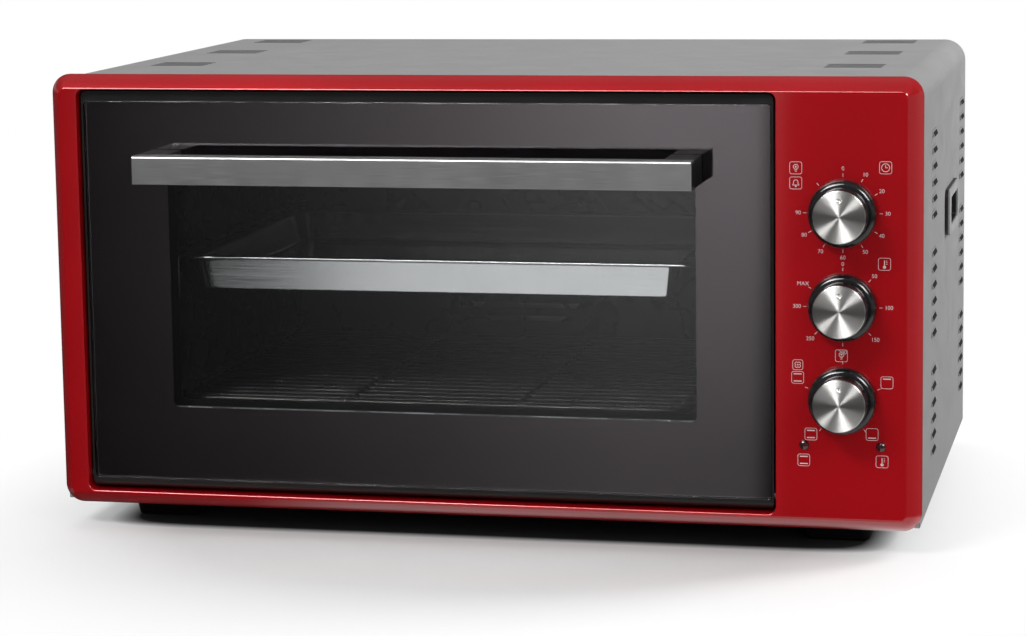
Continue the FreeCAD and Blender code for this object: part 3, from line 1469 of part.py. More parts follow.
def cord_gland():
    """Round gland in the back panel that the supply cord enters through."""
    y0 = CASE_DEPTH
    flange_end = y0 + GLAND_FLANGE_THICK
    body_start = y0 - GLAND_BODY_LENGTH
    body = peg(GLAND_BODY_RADIUS, GLAND_X, GLAND_Z, body_start, y0)
    flange = peg(GLAND_FLANGE_RADIUS, GLAND_X, GLAND_Z, y0, flange_end)
    nose = peg(GLAND_NOSE_RADIUS, GLAND_X, GLAND_Z, flange_end, flange_end + GLAND_NOSE_LENGTH)
    bore = peg(GLAND_BORE, GLAND_X, GLAND_Z, body_start - OVERRUN, REAR_MOST + OVERRUN)
    return without(union([body, flange, nose]), [bore])


def main():
    os.makedirs("parts", exist_ok=True)
    save("front_bezel", front_bezel())
    save("outer_casing", outer_casing())
    save("back_panel", back_panel())
    save("base_pan", base_pan())
    save("casing_screws", casing_screws())
    for name, (x, y) in foot_places().items():
        save("foot_" + name, foot(x, y))
    save("foot_screws", foot_screws())
    save("cavity_liner", cavity_liner())
    save("cavity_stays", cavity_stays())
    save("rack_guide_left", rack_guide(-1))
    save("rack_guide_right", rack_guide(1))
    save("baking_tray", baking_tray())
    save("wire_rack", wire_rack())
    save("heating_element_lower", heating_element(ELEMENT_LOWER))
    save("heating_element_upper", heating_element(ELEMENT_UPPER))
    save("fan_wheel", fan_wheel())
    save("fan_cover", fan_cover())
    save("fan_motor", fan_motor())
    save("oven_lamp_lens", lamp_lens())
    save("oven_lamp_holder", lamp_holder())
    save("thermostat_probe", thermostat_probe())
    save("door_frame", door_frame())
    save("door_glass_outer", door_glass_outer())
    save("door_glass_inner", door_glass_inner())
    save("glass_retainers", glass_retainers())
    save("door_seal", door_seal())
    save("hinge_pin_left", hinge_pin(0))
    save("hinge_pin_right", hinge_pin(1))
    save("hinge_block_left", hinge_block(-1))
    save("hinge_block_right", hinge_block(1))
    save("handle_bar", handle_bar())
    save("handle_core", handle_core())
    save("handle_post_left", handle_post(BAR.x0))
    save("handle_post_right", handle_post(BAR.x1 - HANDLE_POST_LENGTH))
    save("handle_screws", handle_screws())
    controls = [("timer", TIMER_DEPTH), ("thermostat", THERMOSTAT_DEPTH), ("selector", SWITCH_DEPTH)]
    for (name, depth), z in zip(controls, DIAL_HEIGHTS):
        save(name + "_knob", dial_knob(z))
        save(name + "_knob_cap", dial_cap(z))
        save(name + "_shaft", dial_shaft(z, depth))
    save("timer_movement", square_control(DIAL_HEIGHTS[0], TIMER_SIZE, TIMER_DEPTH))
    save("thermostat_body", round_control(DIAL_HEIGHTS[1], THERMOSTAT_RADIUS, THERMOSTAT_DEPTH))
    save("selector_switch", square_control(DIAL_HEIGHTS[2], SWITCH_SIZE, SWITCH_DEPTH))
    save("control_nuts", control_nuts())
    save("control_bracket", control_bracket())
    left_x, right_x = indicator_places()
    save("indicator_lens_left", indicator_lens(left_x))
    save("indicator_lens_right", indicator_lens(right_x))
    save("indicator_bodies", indicator_bodies())
    save("side_grip_left", side_grip(-1))
    save("side_grip_right", side_grip(1))
    save("heat_shield", heat_shield())
    save("terminal_block", terminal_block())
    save("cord_gland", cord_gland())


main()
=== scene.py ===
# %% [markdown]
# A countertop electric oven: a red lacquered front, a black glass door that drops down,
# a brushed bar handle, three knobs on the right and a grey sheet casing with louvres.
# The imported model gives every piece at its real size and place, in metres: X runs to the
# user's right, Y runs from front to back and Z is up. This script only dresses it. Each
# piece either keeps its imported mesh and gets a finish, or is made again with finer curves.

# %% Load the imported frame
import json
import math

import bmesh
import bpy
import numpy as np
from mathutils import Matrix, Vector


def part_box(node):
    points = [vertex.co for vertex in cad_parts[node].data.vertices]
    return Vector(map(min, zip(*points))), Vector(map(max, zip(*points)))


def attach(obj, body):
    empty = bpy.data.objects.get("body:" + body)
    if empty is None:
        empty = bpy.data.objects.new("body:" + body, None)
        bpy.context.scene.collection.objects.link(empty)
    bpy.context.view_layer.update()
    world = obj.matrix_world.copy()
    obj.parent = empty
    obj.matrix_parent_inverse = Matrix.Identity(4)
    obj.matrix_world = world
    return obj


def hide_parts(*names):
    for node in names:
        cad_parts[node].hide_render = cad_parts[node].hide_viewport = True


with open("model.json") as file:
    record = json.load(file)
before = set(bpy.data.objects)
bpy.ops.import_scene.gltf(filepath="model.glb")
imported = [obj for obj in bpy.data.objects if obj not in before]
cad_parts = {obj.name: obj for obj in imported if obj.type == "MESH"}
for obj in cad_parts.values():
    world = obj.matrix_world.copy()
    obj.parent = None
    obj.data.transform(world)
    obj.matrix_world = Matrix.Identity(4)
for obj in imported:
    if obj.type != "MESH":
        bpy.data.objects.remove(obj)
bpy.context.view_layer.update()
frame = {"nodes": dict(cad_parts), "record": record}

MM = 0.001
print("nodes:", len(frame["nodes"]))

# %% [markdown]
# The camera stands in front, a little to the right and above, as in the photograph. Its
# place, turn and focal length came from fitting the edges of the bezel, the door, the
# handle and the casing to the picture. A long lens keeps the upright edges nearly
# parallel, and a small downward shift keeps the oven in the middle of the frame.

# %% Camera
CAMERA_PLACE = Vector((0.4463, -2.0105, 0.4515))
CAMERA_YAW = math.radians(12.872)
CAMERA_PITCH = math.radians(8.115)
CAMERA_ROLL = math.radians(-0.82)
CAMERA_LENS = 104.04
CAMERA_SENSOR = 36.0
CAMERA_SHIFT = -0.05
CAMERA_REACH = 50.0


def camera_axes(yaw, pitch, roll):
    """Right, up and backward directions of a camera that is turned left by yaw, tipped
    down by pitch and rolled about its own line of sight."""
    forward = Vector((
        -math.sin(yaw) * math.cos(pitch), math.cos(yaw) * math.cos(pitch), -math.sin(pitch)
    ))
    level_right = Vector((math.cos(yaw), math.sin(yaw), 0))
    level_up = level_right.cross(forward)
    right = math.cos(roll) * level_right + math.sin(roll) * level_up
    up = math.cos(roll) * level_up - math.sin(roll) * level_right
    return right, up, -forward


lens = bpy.data.cameras.new("photo_camera")
lens.lens = CAMERA_LENS
lens.sensor_width = CAMERA_SENSOR
lens.shift_y = CAMERA_SHIFT
lens.clip_end = CAMERA_REACH
camera = bpy.data.objects.new("photo_camera", lens)
axes = camera_axes(CAMERA_YAW, CAMERA_PITCH, CAMERA_ROLL)
camera.matrix_world = Matrix.Translation(CAMERA_PLACE) @ Matrix(axes).transposed().to_4x4()
bpy.context.scene.collection.objects.link(camera)
bpy.context.scene.camera = camera
bpy.context.scene.view_settings.view_transform = "Standard"
print("camera at", tuple(round(v, 3) for v in CAMERA_PLACE))

# %% [markdown]
# Materials are built from nodes. A few small helpers keep that short: one adds a node and
# sets its inputs, one makes soft noise on the object's own coordinates, and one turns a
# grey value into a bump. Object coordinates are in metres, so a noise scale is a number of
# grains in a metre: 1000 gives grains about one millimetre wide.

# %% Node helpers
MATERIALS = {}


def add_node(tree, kind, inputs=None, **settings):
    """Adds a node, sets its properties, and sets or links its inputs by name or number."""
    node = tree.nodes.new(kind)
    for key, value in settings.items():
        setattr(node, key, value)
    for key, value in (inputs or {}).items():
        if isinstance(value, bpy.types.NodeSocket):
            tree.links.new(value, node.inputs[key])
        else:
            node.inputs[key].default_value = value
    return node


def new_finish(name, **constants):
    """A material with one Principled shader, whose constant inputs are set by name."""
    material = bpy.data.materials.new(name)
    material.use_nodes = True
    shader = material.node_tree.nodes["Principled BSDF"]
    for key, value in constants.items():
        shader.inputs[key.replace("_", " ")].default_value = value
    MATERIALS[name] = material
    return material.node_tree, shader


def object_place(tree, scale=(1.0, 1.0, 1.0)):
    """Object coordinates, stretched along each axis."""
    place = add_node(tree, "ShaderNodeTexCoord").outputs["Object"]
    return add_node(tree, "ShaderNodeMapping", {"Vector": place, "Scale": scale}).outputs[0]


def noise(tree, scale, detail=2.0, stretch=(1.0, 1.0, 1.0)):
    """Soft noise between 0 and 1 on object coordinates."""
    return add_node(
        tree, "ShaderNodeTexNoise",
        {"Vector": object_place(tree, stretch), "Scale": scale, "Detail": detail},
    ).outputs["Fac"]


def ramp(tree, value, low, high, from_low=0.3, from_high=0.7):
    """Maps a value evenly from one range to another."""
    return add_node(
        tree, "ShaderNodeMapRange",
        {"Value": value, "From Min": from_low, "From Max": from_high, "To Min": low, "To Max": high},
    ).outputs["Result"]


def blend_colours(tree, factor, first, second):
    """Mixes two colours by a factor between 0 and 1."""
    mix = add_node(tree, "ShaderNodeMix", data_type="RGBA")
    tree.links.new(factor, mix.inputs["Factor"])
    mix.inputs[6].default_value = (*first, 1.0)
    mix.inputs[7].default_value = (*second, 1.0)
    return mix.outputs[2]


def calculate(tree, operation, first, second=0.0):
    """One sum, product or the like of two values."""
    return add_node(tree, "ShaderNodeMath", {0: first, 1: second}, operation=operation).outputs[0]


def bump(tree, shader, height, distance, strength=0.5):
    """Tilts the surface by a height pattern; distance is the pattern's depth in metres."""
    node = add_node(
        tree, "ShaderNodeBump", {"Height": height, "Distance": distance, "Strength": strength}
    )
    tree.links.new(node.outputs["Normal"], shader.inputs["Normal"])


print("node helpers ready")

# %% [markdown]
# The front is moulded plastic under a red metallic lacquer. Two layers show: a coloured
# coat with fine flakes, and a clear, glossy coat over it. One Principled shader has both:
# the base holds the reds and flakes, its Coat is the clear layer. A very shallow noise
# makes the slight orange peel that every sprayed finish has.

# %% Red lacquer
LACQUER_DEEP = (0.335, 0.0010, 0.0042)
LACQUER_LIGHT = (0.430, 0.0016, 0.0064)
FLAKES = 2600.0
CLOUDS = 9.0
PEEL = 260.0
PEEL_DEPTH = 0.010


def red_lacquer():
    """The reds are mixed by fine flakes times wide clouds, and the flakes vary the gloss."""
    tree, shader = new_finish(
        "red_lacquer", Metallic=0.2, Specular_IOR_Level=0.1, Coat_Weight=0.9,
        Coat_Roughness=0.04,
    )
    flakes = noise(tree, FLAKES, 1.0)
    both = calculate(tree, "MULTIPLY", flakes, noise(tree, CLOUDS, 1.0))
    share = ramp(tree, both, 0.0, 1.0, 0.15, 0.38)
    colour = blend_colours(tree, share, LACQUER_DEEP, LACQUER_LIGHT)
    tree.links.new(colour, shader.inputs["Base Color"])
    tree.links.new(ramp(tree, flakes, 0.30, 0.42), shader.inputs["Roughness"])
    bump(tree, shader, noise(tree, PEEL, 1.0), PEEL_DEPTH * MM)


red_lacquer()
print("red lacquer, flakes of", round(1000 / FLAKES, 2), "mm")

# %% [markdown]
# Painted and plated sheet, moulded plastics and rubber share a recipe: a colour that
# varies a little, a roughness that varies with it, and a fine grain in the surface. The
# table gives each finish its own colours, gloss and grain size.

# %% Table of the plain finishes
GRAINED = {
    # name: (dark colour, light colour, metallic, specular, roughness range, grain, depth)
    # with the grain's width and depth in millimetres
    "grey_casing": ((0.300,) * 3, (0.350,) * 3, 0.25, 0.5, (0.40, 0.50), 1.1, 0.02),
    "zinc_screws": ((0.50,) * 3, (0.66, 0.66, 0.64), 1.0, 0.5, (0.25, 0.42), 0.5, 0.01),
    # cavity_steel and rack_chrome are held near black, far darker than bare steel and chrome: painted
    # shade for the dark inside of the closed oven.
    "cavity_steel": ((0.006,) * 3, (0.012,) * 3, 0.10, 0.3, (0.22, 0.34), 3.0, 0.03),
    "rack_chrome": ((0.018,) * 3, (0.032,) * 3, 1.0, 0.5, (0.26, 0.38), 2.0, 0.01),
    "element_steel": ((0.020, 0.018, 0.016), (0.040, 0.036, 0.032), 0.60, 0.3, (0.35, 0.55), 2.0, 0.03),
    "fan_aluminium": ((0.30,) * 3, (0.40,) * 3, 1.0, 0.5, (0.28, 0.40), 1.5, 0.01),
    "motor_steel": ((0.36, 0.36, 0.37), (0.48, 0.48, 0.49), 1.0, 0.5, (0.30, 0.45), 1.2, 0.02),
    "white_ceramic": ((0.70, 0.68, 0.63), (0.80, 0.79, 0.75), 0.0, 0.5, (0.35, 0.50), 0.8, 0.02),
    "black_frame": ((0.006,) * 3, (0.010,) * 3, 0.0, 0.3, (0.30, 0.42), 0.9, 0.01),
    "silicone_seal": ((0.05,) * 3, (0.08,) * 3, 0.0, 0.3, (0.60, 0.75), 0.6, 0.02),
    "pin_steel": ((0.45, 0.45, 0.46), (0.60, 0.60, 0.61), 1.0, 0.5, (0.22, 0.32), 0.8, 0.01),
    "black_plastic": ((0.003,) * 3, (0.006,) * 3, 0.0, 0.3, (0.32, 0.45), 0.5, 0.01),
    "beige_switch": ((0.55, 0.47, 0.33), (0.63, 0.55, 0.40), 0.0, 0.5, (0.40, 0.55), 0.7, 0.02),
    # vent_shade is painted shade: the near-black of the louvres' and slots' shaded insides.
    "vent_shade": ((0.012,) * 3, (0.024,) * 3, 0.0, 0.1, (0.60, 0.80), 0.7, 0.01),
    "black_rubber": ((0.002,) * 3, (0.005,) * 3, 0.0, 0.15, (0.60, 0.80), 0.7, 0.04),
}
print("plain finishes in the table:", len(GRAINED))

# %% Plain finishes with grain
PATCHES = 45.0
GRAIN_STRENGTH = 0.6


def grained(name, dark, light, metallic, specular, rough, grain, depth):
    """A finish whose colour and gloss follow soft patches, with a fine grain as its bump."""
    tree, shader = new_finish(name, Metallic=metallic, Specular_IOR_Level=specular)
    patches = noise(tree, PATCHES, 3.0)
    tree.links.new(blend_colours(tree, patches, dark, light), shader.inputs["Base Color"])
    tree.links.new(ramp(tree, patches, *rough), shader.inputs["Roughness"])
    bump(tree, shader, noise(tree, 1000.0 / grain), depth * MM, GRAIN_STRENGTH)


for name, values in GRAINED.items():
    grained(name, *values)
print("grained finishes:", len(GRAINED))

# %% [markdown]
# The side grips are grey plastic with a deep pocket, and no light gets into the pocket. A
# lamp can't be kept out of one hole, so the finish paints that shade: its grey is multiplied by a
# ramp of the distance from the middle of the oven, which is zero behind the casing's side.

# %% Grip plastic
GRIP_SHADE = (288.0, 288.8)
GRIP_GREYS = (0.28, 0.33)
GRIP_GRAIN = 1600.0
GRIP_GRAIN_DEPTH = 0.02


def grip_plastic():
    """Grey times a ramp of the size of X: painted shade, black behind the casing's side."""
    tree, shader = new_finish("grip_plastic", Roughness=0.45)
    place = add_node(tree, "ShaderNodeTexCoord").outputs["Object"]
    side = add_node(tree, "ShaderNodeSeparateXYZ", {"Vector": place}).outputs["X"]
    reach = calculate(tree, "ABSOLUTE", side)
    outside = ramp(tree, reach, 0.0, 1.0, GRIP_SHADE[0] * MM, GRIP_SHADE[1] * MM)
    patches = noise(tree, PATCHES, 3.0)
    grey = calculate(tree, "MULTIPLY", outside, ramp(tree, patches, *GRIP_GREYS))
    colour = add_node(tree, "ShaderNodeCombineColor", {channel: grey for channel in range(3)})
    tree.links.new(colour.outputs[0], shader.inputs["Base Color"])
    bump(tree, shader, noise(tree, GRIP_GRAIN), GRIP_GRAIN_DEPTH * MM, GRAIN_STRENGTH)


grip_plastic()
print("grip plastic is black within", GRIP_SHADE[0], "mm")

# %% [markdown]
# Galvanised sheet has spangles: flat zinc crystals a few millimetres wide, each with its
# own grey. A Voronoi pattern gives every cell one random value, and that value sets both
# the grey and the gloss.

# %% Galvanised sheet
SPANGLE = 7.0
ZINC_DARK = (0.42, 0.43, 0.44)
ZINC_LIGHT = (0.58, 0.59, 0.60)
ZINC_GRAIN = 500.0
ZINC_GRAIN_DEPTH = 0.02


def galvanised_sheet():
    """Each crystal's random value mixes the two greys and sets the roughness."""
    tree, shader = new_finish("galvanised_sheet", Metallic=1.0)
    cells = add_node(
        tree, "ShaderNodeTexVoronoi",
        {"Vector": object_place(tree), "Scale": 1.0 / (SPANGLE * MM), "Randomness": 1.0},
    )
    value = add_node(tree, "ShaderNodeSeparateColor", {"Color": cells.outputs["Color"]}).outputs[0]
    tree.links.new(blend_colours(tree, value, ZINC_DARK, ZINC_LIGHT), shader.inputs["Base Color"])
    tree.links.new(ramp(tree, value, 0.30, 0.48, 0.0, 1.0), shader.inputs["Roughness"])
    bump(tree, shader, noise(tree, ZINC_GRAIN), ZINC_GRAIN_DEPTH * MM)


galvanised_sheet()
print("galvanised sheet made, spangles of", SPANGLE, "mm")

# %% [markdown]
# The handle bar is brushed along its length. Noise that is stretched some eighty times
# along X becomes fine lines; they set the gloss, a little of the colour and a shallow
# bump. The tray is pressed from bright sheet with the same kind of lines, wider and with
# more shine.

# %% Brushed metals
BRUSH_STRETCH = (0.012, 1.0, 1.0)
BRUSH_DEPTH = 0.004
BRUSH_CLOUDS = 30.0


def brushed(name, dark, light, rough, line):
    """Metal with fine lines along X, line millimetres wide: lines plus soft clouds mix the
    two colours, and the lines alone set the roughness."""
    tree, shader = new_finish(name, Metallic=1.0)
    lines = noise(tree, 1000.0 / line, 2.0, BRUSH_STRETCH)
    both = calculate(tree, "ADD", lines, noise(tree, BRUSH_CLOUDS))
    factor = ramp(tree, both, 0.0, 1.0, 0.7, 1.3)
    tree.links.new(blend_colours(tree, factor, dark, light), shader.inputs["Base Color"])
    tree.links.new(ramp(tree, lines, *rough), shader.inputs["Roughness"])
    bump(tree, shader, lines, BRUSH_DEPTH * MM)


brushed("brushed_handle", (0.26, 0.26, 0.26), (0.34, 0.34, 0.34), (0.34, 0.46), 0.25)
brushed("tray_metal", (0.84, 0.85, 0.86), (0.90, 0.91, 0.92), (0.08, 0.14), 0.8)
print("brushed metals made")

# %% [markdown]
# The knobs have a glossy black skirt and a disc of spun steel. Spinning leaves circles
# round the centre, which spread light across them and so show bright and dark wedges. An
# anisotropic shader does this: it draws highlights out along its tangent, which is taken
# from the disc's own map, whose first direction runs from the centre outwards.

# %% Knob finishes
SKIRT_PATCHES = 120.0
SKIRT_GRAIN = 1800.0
SKIRT_GRAIN_DEPTH = 0.006
GROOVES = 90.0
GROOVE_DEPTH = 0.004


def knob_black():
    """Nearly black plastic under a clear gloss, a little uneven in grey and shine."""
    tree, shader = new_finish(
        "knob_black", Specular_IOR_Level=0.1, Coat_Weight=0.8, Coat_Roughness=0.06,
    )
    patches = noise(tree, SKIRT_PATCHES)
    colour = blend_colours(tree, patches, (0.006, 0.006, 0.007), (0.011, 0.011, 0.012))
    tree.links.new(colour, shader.inputs["Base Color"])
    tree.links.new(ramp(tree, patches, 0.20, 0.30), shader.inputs["Roughness"])
    bump(tree, shader, noise(tree, SKIRT_GRAIN, 1.0), SKIRT_GRAIN_DEPTH * MM)


def spun_steel():
    """Noise along the radius alone gives round grooves, which vary the grey and the gloss."""
    tree, shader = new_finish("spun_steel", Metallic=1.0, Anisotropic=1.0)
    ring_map = add_node(tree, "ShaderNodeUVMap", uv_map="rings").outputs["UV"]
    stretched = add_node(
        tree, "ShaderNodeMapping", {"Vector": ring_map, "Scale": (GROOVES, 0.0, 1.0)}
    ).outputs[0]
    grooves = add_node(
        tree, "ShaderNodeTexNoise", {"Vector": stretched, "Scale": 1.0, "Detail": 3.0}
    ).outputs["Fac"]
    colour = blend_colours(tree, grooves, (0.44, 0.43, 0.42), (0.62, 0.61, 0.59))
    tree.links.new(colour, shader.inputs["Base Color"])
    tree.links.new(ramp(tree, grooves, 0.35, 0.43), shader.inputs["Roughness"])
    tangent = add_node(tree, "ShaderNodeTangent", direction_type="UV_MAP", uv_map="rings")
    tree.links.new(tangent.outputs[0], shader.inputs["Tangent"])
    bump(tree, shader, grooves, GROOVE_DEPTH * MM)


knob_black()
spun_steel()
print("knob finishes made, grooves:", GROOVES)

# %% [markdown]
# The door's pane is grey-tinted glass with a black enamel printed on its back, so only
# the window is clear. Glass bends light, but lamps can't find their way through bent
# light in this renderer, so for shadow rays the pane counts as a plain tinted film. The
# enamel is nearly black and as smooth as the glass that it is printed on: its strong
# mirror image is what makes the door look grey, with a trace of violet.

# %% Glass
SMEARS = 8.0
SMEAR_SHARE = 0.96


def pane_glass(name, tint, ior, rough=0.0):
    """Clear glass that lets lamp light through; tint is what one pane lets pass."""
    tree, shader = new_finish(name, Transmission_Weight=1.0, IOR=ior, Roughness=rough)
    darker = tuple(SMEAR_SHARE * v for v in tint)
    colour = blend_colours(tree, noise(tree, SMEARS), darker, tint)
    tree.links.new(colour, shader.inputs["Base Color"])
    clear = add_node(tree, "ShaderNodeBsdfTransparent", {"Color": (*tint, 1.0)})
    shadow = add_node(tree, "ShaderNodeLightPath").outputs["Is Shadow Ray"]
    mix = add_node(tree, "ShaderNodeMixShader", {0: shadow})
    tree.links.new(shader.outputs[0], mix.inputs[1])
    tree.links.new(clear.outputs[0], mix.inputs[2])
    tree.links.new(mix.outputs[0], tree.nodes["Material Output"].inputs["Surface"])


pane_glass("door_glass", (0.84, 0.84, 0.85), 1.40)
pane_glass("inner_glass", (0.95, 0.96, 0.95), 1.20)
pane_glass("lamp_glass", (0.90, 0.90, 0.86), 1.45, 0.05)
print("glasses made")

# %% Enamel, lamp domes and print


def clouded(name, scale, dark, light, **constants):
    """A smooth finish whose colour wanders between two near shades, by soft noise."""
    tree, shader = new_finish(name, **constants)
    colour = blend_colours(tree, noise(tree, scale), dark, light)
    tree.links.new(colour, shader.inputs["Base Color"])


clouded("door_enamel", 60.0, (0.0030, 0.0024, 0.0028), (0.0042, 0.0036, 0.0040),
        Roughness=0.03, IOR=2.1, Specular_Tint=(1.0, 0.88, 0.93, 1.0))
clouded("indicator_red", 700.0, (0.030, 0.0020, 0.0030), (0.060, 0.0035, 0.0050),
        Roughness=0.12, Coat_Weight=0.5)
clouded("dial_print", 1500.0, (0.62, 0.45, 0.46), (0.74, 0.58, 0.58), Roughness=0.45)
print("materials in all:", len(MATERIALS))

# %% [markdown]
# New pieces are grids of points. One helper turns a grid into a mesh: rows are cross
# sections, columns run along each section, and either can close on itself. Its open ends
# are closed with one flat face each. Normals are then turned outwards, and edges sharper
# than a set angle stay crisp while the rest are shaded smooth. Where a large flat face
# meets a small rounding, the flat face decides the shading, so that it mirrors like one.

# %% Shading and normals
MERGE = 0.002 * MM
FLAT_ANGLE = 0.4


def settle(mesh, sharp=35.0, turn=True):
    """Merges doubled points, turns faces outwards and shades by angle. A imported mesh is
    turned already; there the triangles of each flat face are joined into one."""
    work = bmesh.new()
    work.from_mesh(mesh)
    bmesh.ops.remove_doubles(work, verts=work.verts, dist=MERGE)
    if turn:
        bmesh.ops.recalc_face_normals(work, faces=work.faces)
    else:
        bmesh.ops.dissolve_limit(
            work, angle_limit=math.radians(FLAT_ANGLE), verts=work.verts, edges=work.edges
        )
    work.to_mesh(mesh)
    work.free()
    mesh.shade_smooth()
    mesh.set_sharp_from_angle(angle=math.radians(sharp))


print("points closer than", round(MERGE / MM, 3), "mm are merged")

# %% Grid meshes
HOUSING = "housing"


def cell_corners(grid):
    """The four corners of every cell of a grid, one row of four for each cell."""
    return np.stack([grid[:-1, :-1], grid[:-1, 1:], grid[1:, 1:], grid[1:, :-1]], axis=2)


def grid_mesh(name, points, close_rows=False, sharp=35.0, uv_map=None):
    """Mesh of a grid of points, closed along its columns: each cell between neighbouring
    rows and columns is a face. Rows that don't close get one flat face at each end."""
    rows, columns = points.shape[:2]
    number = np.arange(rows * columns).reshape(rows, columns)
    ends = [] if close_rows else [number[0][::-1].tolist(), number[-1].tolist()]
    if close_rows:
        number = np.vstack([number, number[:1]])
    number = np.hstack([number, number[:, :1]])
    faces = cell_corners(number).reshape(-1, 4).tolist() + ends
    mesh = bpy.data.meshes.new(name)
    mesh.from_pydata(points.reshape(-1, 3).tolist(), [], faces)
    if uv_map:
        row, column = np.mgrid[0:rows, 0:columns + 1]
        place = np.stack([row / (rows - 1), column / columns], -1)
        inner = cell_corners(place).reshape(-1, 2)
        corners = np.zeros((len(mesh.loops), 2))
        corners[:len(inner)] = inner
        mesh.uv_layers.new(name=uv_map).uv.foreach_set("vector", corners.ravel())
    settle(mesh, sharp)
    return mesh


def place_piece(name, mesh, finish, body, replaced=()):
    """Makes the object, gives it its finish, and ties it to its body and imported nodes."""
    piece = bpy.data.objects.new(name, mesh)
    bpy.context.scene.collection.objects.link(piece)
    mesh.materials.clear()
    mesh.materials.append(MATERIALS[finish])
    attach(piece, body)
    if replaced:
        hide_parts(*replaced)
    flats = piece.modifiers.new("large_faces_stay_flat", "WEIGHTED_NORMAL")
    flats.mode = "FACE_AREA"
    flats.keep_sharp = True
    return piece


print("grid helpers ready")

# %% [markdown]
# Almost every outline on this oven is a rectangle with rounded corners. A rounded outline
# is four quarter circles joined by straight edges, always with the same number of points,
# so two outlines of different size can be joined point to point into a wall.

# %% Rounded outlines
CORNER_STEPS = 10


def rounded(rect, radius, steps=CORNER_STEPS):
    """Points round a rectangle (u0, u1, v0, v1), anticlockwise from the lower right: each
    corner is its centre plus the radius times the cosine and sine of the turn."""
    u0, u1, v0, v1 = rect
    turn = np.radians(np.array([-90, 0, 90, 180])[:, None] + np.linspace(0, 90, steps + 1)[None])
    centre_u = np.array([u1 - radius, u1 - radius, u0 + radius, u0 + radius])[:, None]
    centre_v = np.array([v0 + radius, v1 - radius, v1 - radius, v0 + radius])[:, None]
    outline = np.stack([centre_u + radius * np.cos(turn), centre_v + radius * np.sin(turn)], -1)
    return outline.reshape(-1, 2)


def front_ring(rect, radius, depth):
    """A rounded outline seen from the front, standing at one depth."""
    outline = rounded(rect, radius)
    return np.stack([outline[:, 0], np.full(len(outline), depth), outline[:, 1]], -1)


def inset(rect, by):
    """The rectangle with every side moved inwards."""
    return (rect[0] + by, rect[1] - by, rect[2] + by, rect[3] - by)


def node_rect(node):
    """Left, right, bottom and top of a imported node, and its front and back depth."""
    low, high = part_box(node)
    return (low.x, high.x, low.z, high.z), low.y, high.y


print("outline points:", len(rounded((0, 1, 0, 1), 0.1)))

# %% [markdown]
# The bezel is one moulding: a sloped border, a flat panel and a collar that lines the
# door opening. It could be cut from a block with booleans, but a glossy lacquer shows
# every facet, so it is made as one closed skin instead: a section carried round the
# rounded outline. The section runs up the skirt, along the slope, round the nose, across
# the flat face, into the opening, back along the collar and home again behind the face.

# %% Front bezel
BEZEL_CORNER = 12.5 * MM
SKIRT_END = 14.0 * MM
SLOPE_WIDTH = 8.6 * MM
SLOPE_DEPTH = 12.0 * MM
NOSE_RADIUS = 2.6 * MM
SHOULDER_RADIUS = 3.0 * MM
BEZEL_WALL = 2.5 * MM
DOOR_GAP = 1.7 * MM
OPENING_CORNER = 5.0 * MM
OPENING_EDGE = 0.9 * MM
TOP_LIP = 8.85 * MM
SLOPE_BULGE = 0.7 * MM
LEAST_CORNER = 1.2 * MM
NOSE_STEPS = 10
SHOULDER_STEPS = 4
SLOPE_STEPS = 5

bezel, face_y, collar_end = node_rect("front_bezel")
door = node_rect("door_frame")[0]
opening = inset(door, -DOOR_GAP)
print("bezel", round((bezel[1] - bezel[0]) / MM, 1), "by", round((bezel[3] - bezel[2]) / MM, 1), "mm")

# %% The bezel's section


def bezel_ring(by, depth):
    """The bezel's outline moved inwards; at the top it stops before the door opening."""
    left, right, low, high = inset(bezel, by)
    high = max(high, bezel[3] - TOP_LIP)
    return front_ring((left, right, low, high), max(BEZEL_CORNER - by, LEAST_CORNER), face_y + depth)


def bezel_section():
    """Insets and depths of the outer skin: skirt, shoulder arc, slope, nose arc. Both
    arcs are tangent: a tangent length is the radius times the tangent of half the turn.
    The slope swells by a parabola, four times its height times part times one less part."""
    lean = math.atan2(SLOPE_DEPTH, SLOPE_WIDTH)
    nose_reach = NOSE_RADIUS * math.tan(lean / 2)
    turns = np.linspace(lean, 0, NOSE_STEPS)
    nose = np.stack([
        SLOPE_WIDTH + nose_reach - NOSE_RADIUS * np.sin(turns),
        NOSE_RADIUS - NOSE_RADIUS * np.cos(turns),
    ], -1)
    half_turn = math.pi / 2 - lean
    turns = np.linspace(0, half_turn, SHOULDER_STEPS)
    shoulder_reach = SHOULDER_RADIUS * math.tan(half_turn / 2)
    shoulder = np.stack([
        SHOULDER_RADIUS - SHOULDER_RADIUS * np.cos(turns),
        SLOPE_DEPTH + shoulder_reach - SHOULDER_RADIUS * np.sin(turns),
    ], -1)
    part = np.linspace(0, 1, SLOPE_STEPS + 2)[1:-1, None]
    outwards = -np.array([math.sin(lean), math.cos(lean)])
    slope = shoulder[-1] * (1 - part) + nose[0] * part
    slope += SLOPE_BULGE * 4 * part * (1 - part) * outwards
    return np.vstack([[[0.0, SKIRT_END]], shoulder, slope, nose])


print("points along the section:", len(bezel_section()))

# %% The bezel's skin
LIP_STEPS = 4
LIP_DROP = 0.1 * MM


